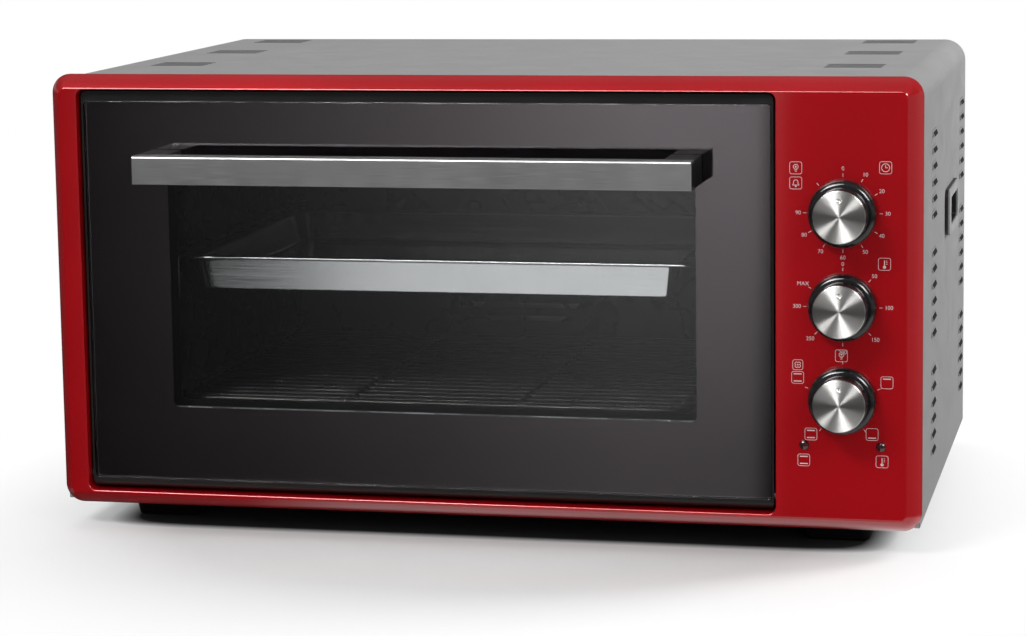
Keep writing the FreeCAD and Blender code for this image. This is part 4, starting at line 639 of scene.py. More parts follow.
def bezel_skin():
    """Rings of the section, of the opening's edge and of the collar. The edge is a quarter
    circle: the outline grows by one minus the sine, the depth by one minus the cosine. At
    the top each ring of the edge stands a little lower than the one before it."""
    rings = [bezel_ring(by, depth) for by, depth in bezel_section()]
    for number, turn in enumerate(np.linspace(0, math.pi / 2, LIP_STEPS), 1):
        grown = OPENING_EDGE * (1 - math.sin(turn))
        left, right, low, high = inset(opening, -grown)
        lip = (left, right, low, min(high, bezel[3] - TOP_LIP - number * LIP_DROP))
        depth = OPENING_EDGE * (1 - math.cos(turn))
        rings.append(front_ring(lip, OPENING_CORNER + grown, face_y + depth))
    outside = inset(opening, -BEZEL_WALL)
    rings.append(front_ring(opening, OPENING_CORNER, collar_end))
    rings.append(front_ring(outside, OPENING_CORNER + BEZEL_WALL, collar_end))
    rings.append(front_ring(outside, OPENING_CORNER + BEZEL_WALL, face_y + SLOPE_DEPTH))
    rings.append(bezel_ring(BEZEL_WALL, SKIRT_END))
    return np.array(rings)


bezel_mesh = grid_mesh("bezel_skin", bezel_skin(), close_rows=True, sharp=50.0)
place_piece("bezel_skin", bezel_mesh, "red_lacquer", HOUSING, ["front_bezel"])
print("bezel faces:", len(bezel_mesh.polygons))

# %% [markdown]
# The floor is a white table with a slight polish. Near the oven it is lit like any
# surface, keeps the oven's shadow and mirrors it faintly; further out it turns into plain
# white for the camera. The gap under the oven, which no lamp reaches, gets a painted
# shadow: a dark grey patch on the floor under the oven's footprint. Light that bounces
# from the table towards the oven is weaker, so that the casing gets darker downwards.
# Mirrors and glass look through the floor at the studio's walls.

# %% Helpers for the floor


def mix_shaders(tree, factor, first, second):
    """Goes from the first shader to the second as the factor goes from zero to one."""
    mix = add_node(tree, "ShaderNodeMixShader", {0: factor})
    tree.links.new(first.outputs[0], mix.inputs[1])
    tree.links.new(second.outputs[0], mix.inputs[2])
    return mix


def mirror_rays(tree, path):
    """One for rays that come from a mirror or through glass, else zero."""
    return calculate(tree, "MAXIMUM", path["Is Glossy Ray"], path["Is Transmission Ray"])


def rounded_distance(tree, reach, middle, power):
    """How far out a point lies, one on the border of a rounded rectangle about (0, middle):
    the sum of each side's share to a power, and its root."""
    place = add_node(tree, "ShaderNodeTexCoord").outputs["Object"]
    shares = add_node(tree, "ShaderNodeMapping", {
        "Vector": place, "Location": (0.0, -middle / reach[1], 0.0),
        "Scale": (1 / reach[0], 1 / reach[1], 0.0),
    }).outputs[0]
    sides = add_node(tree, "ShaderNodeSeparateXYZ", {"Vector": shares}).outputs
    across, along = [
        calculate(tree, "POWER", calculate(tree, "ABSOLUTE", sides[axis]), power) for axis in "XY"
    ]
    return calculate(tree, "POWER", calculate(tree, "ADD", across, along), 1 / power)


print("floor helpers ready")

# %% Floor material
FLOOR_LEVEL = 0.81
FLOOR_BOUNCE = 0.50
FLOOR_POLISH = 0.14
POLISH_ROUGHNESS = 0.12
POLISH_FADE = (0.5, 1.0)
# Painted shadow under the oven: the dark patch's half size, middle, sharpness, fade and grey.
UNDER_OVEN = (0.262, 0.180)
UNDER_MIDDLE = 0.020
UNDER_POWER = 16.0
UNDER_FADE = (0.95, 1.02)
UNDER_OVEN_SHADOW_LEVEL = 0.05
SHADOW_REACH = (0.38, 0.42)
SHADOW_MIDDLE = -0.05
SHADOW_POWER = 2.5
WHITE_FADE = (0.58, 1.05)
WHITE = (1.0, 1.0, 1.0, 1.0)


def matt(tree, level):
    """A plain matt surface of one grey."""
    return add_node(tree, "ShaderNodeBsdfDiffuse", {"Color": (level, level, level, 1.0)})


def floor_material():
    """Lit and polished near the oven, white further out, with a painted shadow under the oven; each
    kind of ray sees its own.
    """
    material = bpy.data.materials.new("studio_floor")
    material.use_nodes = True
    tree = material.node_tree
    tree.nodes.clear()
    path = add_node(tree, "ShaderNodeLightPath").outputs
    out = rounded_distance(tree, SHADOW_REACH, SHADOW_MIDDLE, SHADOW_POWER)
    polish = add_node(tree, "ShaderNodeBsdfGlossy", {"Roughness": POLISH_ROUGHNESS})
    polished = ramp(tree, out, FLOOR_POLISH, 0.0, *POLISH_FADE)
    near = mix_shaders(tree, polished, matt(tree, FLOOR_LEVEL), polish)
    white = add_node(tree, "ShaderNodeEmission", {"Color": WHITE})
    seen = mix_shaders(tree, ramp(tree, out, 0.0, 1.0, *WHITE_FADE), near, white)
    camera_or_bounce = mix_shaders(tree, path["Is Camera Ray"], matt(tree, FLOOR_BOUNCE), seen)
    clear = add_node(tree, "ShaderNodeBsdfTransparent")
    table = mix_shaders(tree, mirror_rays(tree, path), camera_or_bounce, clear)
    # Painted shadow: under the oven's footprint every ray finds a dark grey floor.
    under = rounded_distance(tree, UNDER_OVEN, UNDER_MIDDLE, UNDER_POWER)
    dark = matt(tree, UNDER_OVEN_SHADOW_LEVEL)
    last = mix_shaders(tree, ramp(tree, under, 1.0, 0.0, *UNDER_FADE), table, dark)
    output = add_node(tree, "ShaderNodeOutputMaterial")
    tree.links.new(last.outputs[0], output.inputs["Surface"])
    return material


print("shadow fades to white over", SHADOW_REACH, "m")

# %% Floor
FLOOR_SIZE = 16.0

corners = FLOOR_SIZE / 2 * np.array([[-1, -1, 0], [1, -1, 0], [1, 1, 0], [-1, 1, 0]])
floor_mesh = bpy.data.meshes.new("floor")
floor_mesh.from_pydata(corners.tolist(), [], [[0, 1, 2, 3]])
floor_mesh.materials.append(floor_material())
floor = bpy.data.objects.new("floor", floor_mesh)
bpy.context.scene.collection.objects.link(floor)
print("floor of", FLOOR_SIZE, "m")

# %% [markdown]
# Soft lamps stand upper left, right and above, the last a little behind, so that the
# shadow falls forwards, and one near the casing's right side. The last two of these light
# the casing and are kept out of mirrors. Two strips do the opposite, and light only glossy
# surfaces: they draw the lines on the bezel's edge and the wedges on the caps.

# %% Lamps
SOFTBOXES = {
    # name: (place, the point it faces, width and height in metres, watts, what can't see it)
    "key_softbox": ((-1.3, -2.4, 2.5), (0, 0, 0.15), (1.3, 0.6), 54.0, None),
    "side_softbox": ((2.0, -2.0, 1.9), (0, 0, 0.15), (0.9, 0.6), 10.0, None),
    "top_softbox": ((-0.5, 0.9, 2.8), (0, 0, 0.3), (2.2, 1.4), 24.0, "glossy"),
    "casing_softbox": ((1.25, 0.60, 0.80), (0.29, 0.05, 0.15), (0.5, 0.5), 16.0, "glossy"),
    "left_strip": ((-0.85, -1.75, 2.2), (0.1, -0.2, 0.2), (1.8, 1.5), 95.0, "diffuse"),
    "right_strip": ((1.9, -1.6, 1.6), (0.2, -0.2, 0.2), (1.2, 1.0), 60.0, "diffuse"),
}


def softbox(name, place, aim, size, power, hidden_from):
    """A rectangular area lamp that faces a point."""
    lamp = bpy.data.lights.new(name, "AREA")
    lamp.shape = "RECTANGLE"
    lamp.size, lamp.size_y = size
    lamp.energy = power
    box = bpy.data.objects.new(name, lamp)
    box.location = place
    box.rotation_euler = (Vector(aim) - Vector(place)).to_track_quat("-Z", "Y").to_euler()
    if hidden_from:
        setattr(box, "visible_" + hidden_from, False)
    bpy.context.scene.collection.objects.link(box)


for name, values in SOFTBOXES.items():
    softbox(name, *values)
print("lamps:", len(SOFTBOXES))

# %% [markdown]
# What mirrors and glass see of the studio is painted by direction, as a level by height
# times a level by side. At the door's height a bright wall fades into the dark towards the
# left, and a black flag stands on the right, in front of the knobs: so the door's glass
# fades from black at the left to grey at the upper right, while the lacquer beside it
# keeps a deep red. Below is the white table, and above the walls are dim, so that the
# lamps draw the highlights. A direction's share along an axis goes from -1 to 1.

# %% What mirrors see
HEIGHT_LEVELS = [(-1.0, 1.0), (-0.45, 1.02), (-0.25, 0.28), (-0.205, 0.36), (-0.155, 0.64),
                 (-0.085, 1.0), (0.0, 0.9), (0.19, 0.30), (0.26, 0.10), (0.60, 0.12),
                 (0.85, 0.30), (1.0, 0.30)]
FRONT_LEVELS = [(-1.0, 0.05), (-0.36, 0.05), (-0.30, 0.22), (-0.25, 0.47), (-0.18, 1.0),
                (-0.1385, 1.0), (-0.1330, 0.05), (0.40, 0.05), (0.90, 0.40)]
TABLE_LEVELS = [(-1.0, 0.4), (-0.60, 0.03), (-0.303, 0.03), (-0.270, 1.0), (1.0, 1.0)]
TABLE_FADE = (-0.40, -0.28)
WALL_FADE = (0.0, 0.20)


def level_curve(tree, value, levels):
    """A curve through pairs of a direction's share, from -1 to 1, and a brightness."""
    curve = add_node(tree, "ShaderNodeValToRGB", {"Fac": ramp(tree, value, 0.0, 1.0, -1.0, 1.0)})
    steps = curve.color_ramp.elements
    while len(steps) < len(levels):
        steps.new(0.5)
    for step, (share, level) in zip(steps, levels):
        step.position = (share + 1) / 2
        step.color = (level, level, level, 1.0)
    return curve.outputs["Color"]


def blend(tree, factor, first, second):
    """Goes from the first value to the second as the factor goes from zero to one."""
    mix = add_node(tree, "ShaderNodeMix", {0: factor, 2: first, 3: second}, data_type="FLOAT")
    return mix.outputs[0]


def direction_axes(tree):
    """The three shares of the direction in which a ray leaves the scene."""
    direction = add_node(tree, "ShaderNodeTexCoord").outputs["Generated"]
    return add_node(tree, "ShaderNodeSeparateXYZ", {"Vector": direction}).outputs


def studio_walls(tree):
    """Level by height times level by side; the side counts less and less above eye level."""
    axes = direction_axes(tree)
    front = level_curve(tree, axes["X"], FRONT_LEVELS)
    table = level_curve(tree, axes["X"], TABLE_LEVELS)
    side = blend(tree, ramp(tree, axes["Z"], 1.0, 0.0, *TABLE_FADE), front, table)
    side = blend(tree, ramp(tree, axes["Z"], 0.0, 1.0, *WALL_FADE), side, 1.0)
    return calculate(tree, "MULTIPLY", side, level_curve(tree, axes["Z"], HEIGHT_LEVELS))


print("wall levels:", len(HEIGHT_LEVELS), "by height and", len(FRONT_LEVELS), "by side")

# %% [markdown]
# The world holds three studios in one, and the kind of ray picks one of them: the camera
# sees plain white, mirrors and glass see the painted walls, and matt surfaces are lit by a
# soft room that is brighter on the right, where the casing's grey side faces it.

# %% World
ROOM_LEVELS = (0.45, 1.00)


def background(tree, strength):
    """Plain white light from all round, of a set or a linked strength."""
    return add_node(tree, "ShaderNodeBackground", {"Color": WHITE, "Strength": strength})


world = bpy.data.worlds.new("studio")
bpy.context.scene.world = world
world.use_nodes = True
tree = world.node_tree
tree.nodes.clear()
path = add_node(tree, "ShaderNodeLightPath").outputs
room = background(tree, ramp(tree, direction_axes(tree)["X"], *ROOM_LEVELS, 0.0, 1.0))
seen = mix_shaders(tree, mirror_rays(tree, path), room, background(tree, studio_walls(tree)))
seen = mix_shaders(tree, path["Is Camera Ray"], seen, background(tree, 1.0))
world_output = add_node(tree, "ShaderNodeOutputWorld")
tree.links.new(seen.outputs[0], world_output.inputs["Surface"])
print("world made, room levels", ROOM_LEVELS)

# %% [markdown]
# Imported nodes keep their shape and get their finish. The ones with curved faces are
# copied first: the copy's triangles are merged and shaded smooth, because loose triangles
# show as facets in gloss, and the copy then stands for the node.

# %% Which nodes are made again
DIALS = ("timer", "thermostat", "selector")
SLOT_OF = {part["node"]: part["material_slot"] for part in frame["record"]["subparts"]}
BODY_OF = {
    node: body
    for body, nodes in frame["record"]["behaviour"]["bodies"].items()
    for node in nodes
}
FEET = ["foot_front_left", "foot_front_right", "foot_rear_left", "foot_rear_right"]
KNOB_NODES = [dial + part for dial in DIALS for part in ("_knob", "_knob_cap")]
MADE_AGAIN = FEET + KNOB_NODES + ["front_bezel", "door_glass_outer", "handle_bar", "baking_tray"]
FLAT_NODES = [
    "back_panel", "base_pan", "cavity_stays", "rack_guide_left", "rack_guide_right",
    "glass_retainers", "door_glass_inner", "hinge_block_left", "hinge_block_right",
    "control_nuts", "control_bracket", "timer_movement", "selector_switch", "heat_shield",
    "terminal_block",
]
print("flat nodes:", len(FLAT_NODES), "made again:", len(MADE_AGAIN))

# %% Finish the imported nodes
COPY_SHARP = 32.0


def smooth_copy(node):
    """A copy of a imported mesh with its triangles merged, standing for that node."""
    mesh = frame["nodes"][node].data.copy()
    mesh.name = node + "_skin"
    settle(mesh, COPY_SHARP, turn=False)
    slot = SLOT_OF[node]
    return place_piece(node + "_skin", mesh, slot, BODY_OF[node], [node])


for name, node in frame["nodes"].items():
    for material_slot in node.material_slots:
        material_slot.material = MATERIALS[SLOT_OF[name]]
    if name not in MADE_AGAIN and name not in FLAT_NODES:
        smooth_copy(name)
print("nodes with a finish:", len(frame["nodes"]))

# %% [markdown]
# The pane is a plate with ground edges. Real pane edges are rounded by a wheel, so the
# outline is carried through the thickness with a small arc at the front and the back,
# and the two flat faces close it. The enamel is a thin frame just inside the back face.
# Its opening is the window.

# %% Door pane
PANE_CORNER = 3.0 * MM
PANE_EDGE = 0.7 * MM

pane, pane_front, pane_back = node_rect("door_glass_outer")


def rounded_plate(rect, corner, front, back, edge, steps=5):
    """Rings from the front face to the back: the inset follows a quarter circle at each
    edge, one minus the sine of the turn, while the depth follows one minus its cosine."""
    turn = np.linspace(0, math.pi / 2, steps)
    by = edge * (1 - np.sin(turn))
    deep = edge * (1 - np.cos(turn))
    rings = [front_ring(inset(rect, i), corner - i, front + d) for i, d in zip(by, deep)]
    rings += [front_ring(inset(rect, i), corner - i, back - d) for i, d in zip(by[::-1], deep[::-1])]
    return np.array(rings)


pane_mesh = grid_mesh("door_pane", rounded_plate(pane, PANE_CORNER, pane_front, pane_back, PANE_EDGE))
place_piece("door_pane", pane_mesh, "door_glass", "door", ["door_glass_outer"])
print("pane", round((pane_back - pane_front) / MM, 1), "mm thick")

# %% Enamel round the window
ENAMEL_DEPTH = 0.15 * MM
ENAMEL_THICK = 0.08 * MM
ENAMEL_INSET = 0.5 * MM
WINDOW_LEFT = 58.0 * MM
WINDOW_RIGHT = 49.7 * MM
WINDOW_BOTTOM = 55.3 * MM
WINDOW_TOP = 54.3 * MM
WINDOW_CORNER = 4.0 * MM

window = (
    door[0] + WINDOW_LEFT, door[1] - WINDOW_RIGHT, door[2] + WINDOW_BOTTOM, door[3] - WINDOW_TOP
)


def enamel_frame():
    """A closed flat frame: outer and inner outline, each at the print's front and back."""
    front = pane_back - ENAMEL_DEPTH
    back = front + ENAMEL_THICK
    outer = inset(pane, ENAMEL_INSET)
    return np.array([
        front_ring(outer, PANE_CORNER, front), front_ring(window, WINDOW_CORNER, front),
        front_ring(window, WINDOW_CORNER, back), front_ring(outer, PANE_CORNER, back),
    ])


enamel_mesh = grid_mesh("door_enamel", enamel_frame(), close_rows=True)
place_piece("door_enamel", enamel_mesh, "door_enamel", "door")
print("window", [round(v / MM, 1) for v in window])

# %% [markdown]
# The handle bar is a channel of brushed metal, open at the back where a black core fills
# it, with a black plug in each end. Its section is drawn once, as depths and heights, and
# carried along X. The two front edges are small quarter circles, which catch the light as
# the thin bright line along the top of the real bar.

# %% Section of the handle bar
BAR_SKIN = 1.8 * MM
BAR_EDGE = 0.9 * MM
BAR_TOP_EDGE = 1.7 * MM

bar, bar_front, bar_back = node_rect("handle_bar")


def channel_section():
    """Depth and height of the channel's outline, from the lower back corner round."""
    turn = np.linspace(0, math.pi / 2, 6)
    low = np.stack([
        bar_front + BAR_EDGE - BAR_EDGE * np.sin(turn), bar[2] + BAR_EDGE - BAR_EDGE * np.cos(turn)
    ], -1)
    high = np.stack([
        bar_front + BAR_TOP_EDGE - BAR_TOP_EDGE * np.cos(turn),
        bar[3] - BAR_TOP_EDGE + BAR_TOP_EDGE * np.sin(turn),
    ], -1)
    inner_front = bar_front + BAR_SKIN
    low_inside = bar[2] + BAR_SKIN
    high_inside = bar[3] - BAR_SKIN
    back = [[bar_back, bar[3]], [bar_back, high_inside], [inner_front, high_inside],
            [inner_front, low_inside], [bar_back, low_inside], [bar_back, bar[2]]]
    return np.vstack([low, high, back])


print("points along the channel's section:", len(channel_section()))

# %% Handle bar
BAR_END = 0.7 * MM


def along_x(section, places):
    """A section of depths and heights, repeated at each X."""
    places = np.asarray(places)
    grid = np.empty((len(places), len(section), 3))
    grid[:, :, 0] = places[:, None]
    grid[:, :, 1:] = section[None]
    return grid


def bar_points():
    """The channel with its front edge rounded at both ends: there the depth is held behind a
    quarter circle, one minus the sine of the turn, while X follows one minus its cosine."""
    turn = np.linspace(0, math.pi / 2, 5)
    step = BAR_END * (1 - np.cos(turn))
    back_by = BAR_END * (1 - np.sin(turn))
    grid = along_x(channel_section(), np.concatenate([bar[0] + step, bar[1] - step[::-1]]))
    held = bar_front + np.concatenate([back_by, back_by[::-1]])
    grid[:, :, 1] = np.maximum(grid[:, :, 1], held[:, None])
    return grid


bar_mesh = grid_mesh("handle_channel", bar_points(), sharp=40.0)
place_piece("handle_channel", bar_mesh, "brushed_handle", "door", ["handle_bar"])
print("bar length", round((bar[1] - bar[0]) / MM, 1), "mm")

# %% Plugs in the handle's ends
PLUG_LENGTH = 2.6 * MM
PLUG_GAP = 0.15 * MM
PLUG_SUNK = 0.1 * MM
PLUG_CORNER = 0.5 * MM


def end_plug(name, start, end):
    """A small block with rounded corners that fills the channel between two places."""
    wall = BAR_SKIN + PLUG_GAP
    section = rounded((bar_front + BAR_SKIN, bar_back, bar[2] + wall, bar[3] - wall), PLUG_CORNER, 3)
    plug = grid_mesh(name, along_x(section, (start, end)))
    place_piece(name, plug, "black_plastic", "door")


end_plug("handle_plug_left", bar[0] + PLUG_SUNK, bar[0] + PLUG_LENGTH)
end_plug("handle_plug_right", bar[1] - PLUG_LENGTH, bar[1] - PLUG_SUNK)
print("plugs", round((PLUG_LENGTH - PLUG_SUNK) / MM, 1), "mm long")

# %% [markdown]
# Knobs are turned shapes: a profile of radii and depths spun round the dial's axis. The
# skirt has a rounded shoulder, and its gloss shows two curved highlights there. The cap
# is a disc of spun steel with a softened edge, and the pointer is a small dimple pressed
# into it: points within the dimple's radius move inwards by a smooth bell of distance.

# %% Turned shapes
KNOB_SEGMENTS = 144


def turned(profile, x, z, segments=KNOB_SEGMENTS):
    """Spins radius and depth pairs round a line along Y: each point is the centre plus
    the radius times the sine and cosine of the angle."""
    profile = np.asarray(profile)
    angle = np.linspace(0, 2 * math.pi, segments, endpoint=False)
    grid = np.empty((len(profile), segments, 3))
    grid[:, :, 0] = x + profile[:, :1] * np.sin(angle)
    grid[:, :, 1] = profile[:, 1:]
    grid[:, :, 2] = z + profile[:, :1] * np.cos(angle)
    return grid


def dial_centre(name):
    """X and Z of a dial's axis."""
    low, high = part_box(name + "_knob")
    return (low.x + high.x) / 2, (low.z + high.z) / 2


print("dial axes in mm:", [[round(v / MM, 1) for v in dial_centre(dial)] for dial in DIALS])

# %% Knob skirt
KNOB_BASE_HEIGHT = 3.2 * MM
KNOB_SHOULDER = 5.0 * MM
KNOB_NECK = 17.6 * MM
KNOB_TIP = 17.1 * MM
KNOB_RIM = 0.5 * MM
KNOB_BACK_EDGE = 0.3 * MM
CAP_SEAT = 0.5 * MM
BORE = 3.05 * MM


def knob_profile(radius, base, tip):
    """Skirt from the bore at the back, over the shoulder and neck, to the cap's seat. The
    shoulder is a quarter of an ellipse, and the rim beside the cap a quarter circle."""
    turn = np.linspace(0, math.pi / 2, 14)
    shoulder = np.stack([
        KNOB_NECK + (radius - KNOB_NECK) * np.cos(turn),
        base - KNOB_BASE_HEIGHT - KNOB_SHOULDER * np.sin(turn),
    ], -1)
    lip = np.stack([
        KNOB_TIP - KNOB_RIM + KNOB_RIM * np.cos(turn[::3]),
        tip + KNOB_RIM - KNOB_RIM * np.sin(turn[::3]),
    ], -1)
    start = [[BORE, base], [radius - KNOB_BACK_EDGE, base], [radius, base - KNOB_BACK_EDGE]]
    end = [[KNOB_TIP - KNOB_RIM, tip + CAP_SEAT], [BORE, tip + CAP_SEAT]]
    return np.vstack([start, shoulder, lip, end])


print("knob profile ready")

# %% Knob cap
CAP_EDGE = 0.6 * MM
CAP_RINGS = 56
CAP_CENTRE = 0.15 * MM
DIMPLE_PLACE = 10.5 * MM
DIMPLE_RADIUS = 1.15 * MM
DIMPLE_DEPTH = 0.8 * MM
DIMPLE_POWER = 6


def cap_grid(x, z, radius, front, seat):
    """Disc with a rounded edge, its rings closer at the edge, and the pointer's dimple: the
    face sinks by the depth times e to minus the sixth power of distance over radius."""
    turn = np.linspace(0, math.pi / 2, 6)
    edge = np.stack([
        radius - CAP_EDGE + CAP_EDGE * np.sin(turn), front + CAP_EDGE - CAP_EDGE * np.cos(turn)
    ], -1)
    flat_radii = np.linspace(CAP_CENTRE, radius - CAP_EDGE, CAP_RINGS, endpoint=False)
    face = np.stack([flat_radii, np.full(CAP_RINGS, front)], -1)
    grid = turned(np.vstack([face, edge, [[radius, seat], [BORE, seat]]]), x, z)
    away = np.hypot(grid[:, :, 0] - x, grid[:, :, 2] - z - DIMPLE_PLACE) / DIMPLE_RADIUS
    pressed = np.exp(-away ** DIMPLE_POWER)
    pressed[CAP_RINGS:] = 0
    grid[:, :, 1] += DIMPLE_DEPTH * pressed
    return grid


print("cap rings:", CAP_RINGS)

# %% Knobs
for name in DIALS:
    x, z = dial_centre(name)
    low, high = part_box(name + "_knob")
    cap_low, cap_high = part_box(name + "_knob_cap")
    profile = knob_profile((high.x - low.x) / 2, high.y, low.y)
    skirt = grid_mesh(name + "_skirt", turned(profile, x, z), sharp=45.0)
    body = name + "_dial"
    place_piece(name + "_skirt", skirt, "knob_black", body, [name + "_knob"])
    disc_points = cap_grid(x, z, (cap_high.x - cap_low.x) / 2, cap_low.y, cap_high.y)
    disc = grid_mesh(name + "_disc", disc_points, sharp=50.0, uv_map="rings")
    place_piece(name + "_disc", disc, "spun_steel", body, [name + "_knob_cap"])
print("knob faces:", len(skirt.polygons), "cap faces:", len(disc.polygons))

# %% [markdown]
# The baking tray is pressed sheet: a flat floor, sloping walls with soft corners and a
# rim that turns over into a bead. Seen through the window it is mostly its front wall and
# the bright edge of the rim. The section lists insets and heights, first down the inside
# and then back up the outside, and rides round an outline seen from above.

# %% Outlines seen from above, and folds
TOP_CORNER_STEPS = 14


def top_ring(rect, radius, height):
    """A rounded outline seen from above, at one height."""
    outline = rounded(rect, radius, TOP_CORNER_STEPS)
    return np.stack([outline[:, 0], outline[:, 1], np.full(len(outline), height)], -1)


def fold(inset_from, height_from, inset_to, height_to, corner_inset, corner_height, steps=6):
    """A soft bend drawn towards the corner between its ends: with t from 0 to 1, the start
    counts (1 - t) squared, the corner 2 t (1 - t) and the end t squared."""
    t = np.linspace(0, 1, steps)[:, None]
    start = np.array([inset_from, height_from])
    end = np.array([inset_to, height_to])
    corner = np.array([corner_inset, corner_height])
    return (1 - t) ** 2 * start + 2 * t * (1 - t) * corner + t ** 2 * end


print("points round an outline:", len(top_ring((0, 1, 0, 1), 0.1, 0)))

# %% Section of the tray
TRAY_DEPTH = 25.0 * MM
TRAY_WALL = 1.0 * MM
TRAY_RIM = 9.5 * MM
TRAY_DRAFT = 5.0 * MM
TRAY_RIM_CORNER = 5.0 * MM
TRAY_CORNER = 10.0 * MM
TRAY_BEAD = 0.75 * MM
TRAY_FOLD = 3.0 * MM


def corner_radius(by):
    """The rim's corners are tight and the walls' are rounder; below they tighten again."""
    along = min(by / TRAY_RIM, 1.0)
    return TRAY_RIM_CORNER + (TRAY_CORNER - TRAY_RIM_CORNER) * along - max(by - TRAY_RIM, 0) / 2


def tray_section(top):
    """Insets and heights of the sheet: down the inside, over the rim and back below."""
    floor = top - TRAY_DEPTH
    lean = TRAY_DRAFT / TRAY_DEPTH
    inner_top = TRAY_RIM + TRAY_WALL
    inner_low = inner_top + TRAY_DRAFT
    inside = np.vstack([
        fold(inner_low + TRAY_FOLD, floor + TRAY_WALL, inner_low - TRAY_FOLD * lean,
             floor + TRAY_WALL + TRAY_FOLD, inner_low, floor + TRAY_WALL),
        fold(inner_top + TRAY_FOLD * lean, top - TRAY_FOLD, inner_top - TRAY_FOLD, top,
             inner_top, top),
    ])
    turn = np.linspace(0, math.pi, 8)
    bead = np.stack([
        TRAY_BEAD - TRAY_BEAD * np.sin(turn), top - TRAY_BEAD + TRAY_BEAD * np.cos(turn)
    ], -1)
    low_rim = top - 2 * TRAY_BEAD
    outside = np.vstack([
        fold(TRAY_RIM - TRAY_FOLD, low_rim, TRAY_RIM + TRAY_FOLD * lean, low_rim - TRAY_FOLD,
             TRAY_RIM, low_rim),
        fold(TRAY_RIM + TRAY_DRAFT - TRAY_FOLD * lean, floor + TRAY_FOLD,
             TRAY_RIM + TRAY_DRAFT + TRAY_FOLD, floor, TRAY_RIM + TRAY_DRAFT, floor),
    ])
    return np.vstack([inside, bead, outside])


print("points along the tray's section:", len(tray_section(0.0)))

# %% Baking tray
low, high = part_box("baking_tray")
tray_rect = (low.x, high.x, low.y, high.y)
tray_points = np.array([
    top_ring(inset(tray_rect, by), corner_radius(by), height)
    for by, height in tray_section(high.z)
])
tray_mesh = grid_mesh("tray_shell", tray_points, sharp=40.0)
place_piece("tray_shell", tray_mesh, "tray_metal", "tray", ["baking_tray"])
print("tray faces:", len(tray_mesh.polygons))

# %% [markdown]
# The feet are black moulded blocks that taper downwards. Each is a stack of rounded
# outlines seen from above, narrow at the table and full size under the base.

# %% Feet
FOOT_CORNER = 9.0 * MM
FOOT_INSETS = np.array([5.0, 4.0, 3.5, 0.3, 0.0]) * MM
FOOT_HEIGHT_SHARES = (0.0, 0.03, 0.09, 0.94, 1.0)

for name in FEET:
    low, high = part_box(name)
    foot_rect = (low.x, high.x, low.y, high.y)
    foot_points = np.array([
        top_ring(inset(foot_rect, by), FOOT_CORNER - by, low.z + share * (high.z - low.z))
        for by, share in zip(FOOT_INSETS, FOOT_HEIGHT_SHARES)
    ])
    foot_mesh = grid_mesh(name + "_block", foot_points, sharp=40.0)
    place_piece(name + "_block", foot_mesh, "black_rubber", HOUSING, [name])
print("feet:", len(FEET))

# %% [markdown]
# The casing breathes through louvres in its sides and slots in its top. Their insides
# lie in shade, and from outside that shade is all one sees. It is painted shade, made as
# thin black pieces laid over the sheet: a wedge that covers each louvre's mouth and the
# lower part of its hood, and a slim plate in each slot of a group.

# %% Prisms
VENT_DEPTH = 0.3 * MM
VENT_PROUD = 0.04 * MM

case_side, case_end, case_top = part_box("back_panel")[1]


def prisms(name, pairs):
    """One mesh of separate prisms. Each pair holds two outlines with matching points: both
    are faces, and each side face joins an edge of one to the same edge of the other."""
    points = np.array(pairs)
    number = np.arange(points[..., 0].size).reshape(points.shape[:3])
    near, far = number[:, 0], number[:, 1]
    sides = np.stack([np.roll(near, 1, 1), near, far, np.roll(far, 1, 1)], -1)
    faces = near[:, ::-1].tolist() + far.tolist() + sides.reshape(-1, 4).tolist()
    mesh = bpy.data.meshes.new(name)
    mesh.from_pydata(points.reshape(-1, 3).tolist(), [], faces)
    settle(mesh, 30.0)
    return mesh


def place_vent_shade(name, pairs):
    """Places the painted shade of one kind of vent: dark pieces over its openings."""
    place_piece(name, prisms(name, pairs), "vent_shade", HOUSING)
    print(name, len(pairs))


# %% Louvres
LOUVRES_IN_GROUP = 6
LOUVRE_PITCH = 10.7 * MM
LOUVRE_GROUPS = 3
LOUVRE_GROUP_PITCH = 78.5 * MM
LOUVRE_DROP = 44.0 * MM
LOUVRE_FRONT = 95.0 * MM
LOUVRE_REAR = 50.0 * MM
LOUVRE_LENGTH = 24.0 * MM
LOUVRE_REACH = 1.56 * MM
LOUVRE_HEIGHT = 5.5 * MM
LOUVRE_DARK = 2.6 * MM


def louvre_painted_shade():
    """A dark section of painted shade for both ends of every louvre: wide at its foot, cut off before
    its top.
    """
    fronts = (face_y + LOUVRE_FRONT, case_end - LOUVRE_REAR)
    pairs = []
    for group in range(LOUVRE_GROUPS):
        for row in range(LOUVRES_IN_GROUP):
            z = case_top - LOUVRE_DROP - group * LOUVRE_GROUP_PITCH - row * LOUVRE_PITCH
            for side in (-1, 1):
                inner = side * (case_side - VENT_DEPTH)
                tip = side * (case_side + LOUVRE_REACH)
                top = tip + (inner - tip) * LOUVRE_DARK / LOUVRE_HEIGHT
                for y in fronts:
                    pairs.append([
                        [(inner, depth, z - VENT_PROUD), (tip, depth, z - VENT_PROUD),
                         (top, depth, z + LOUVRE_DARK), (inner, depth, z + LOUVRE_DARK)]
                        for depth in (y, y + LOUVRE_LENGTH)
                    ])
    return pairs


place_vent_shade("louvre_painted_shade", louvre_painted_shade())

# %% Top slots
SLOT_EDGE = 34.0 * MM
SLOT_LENGTH = 38.5 * MM
SLOT_WIDTH = 4.0 * MM
SLOT_PITCH = 8.5 * MM
SLOT_STEPS = (-2, -1, 0, 1)
SLOT_ROW_SHARES = (0.3263, 0.6421, 0.9395)


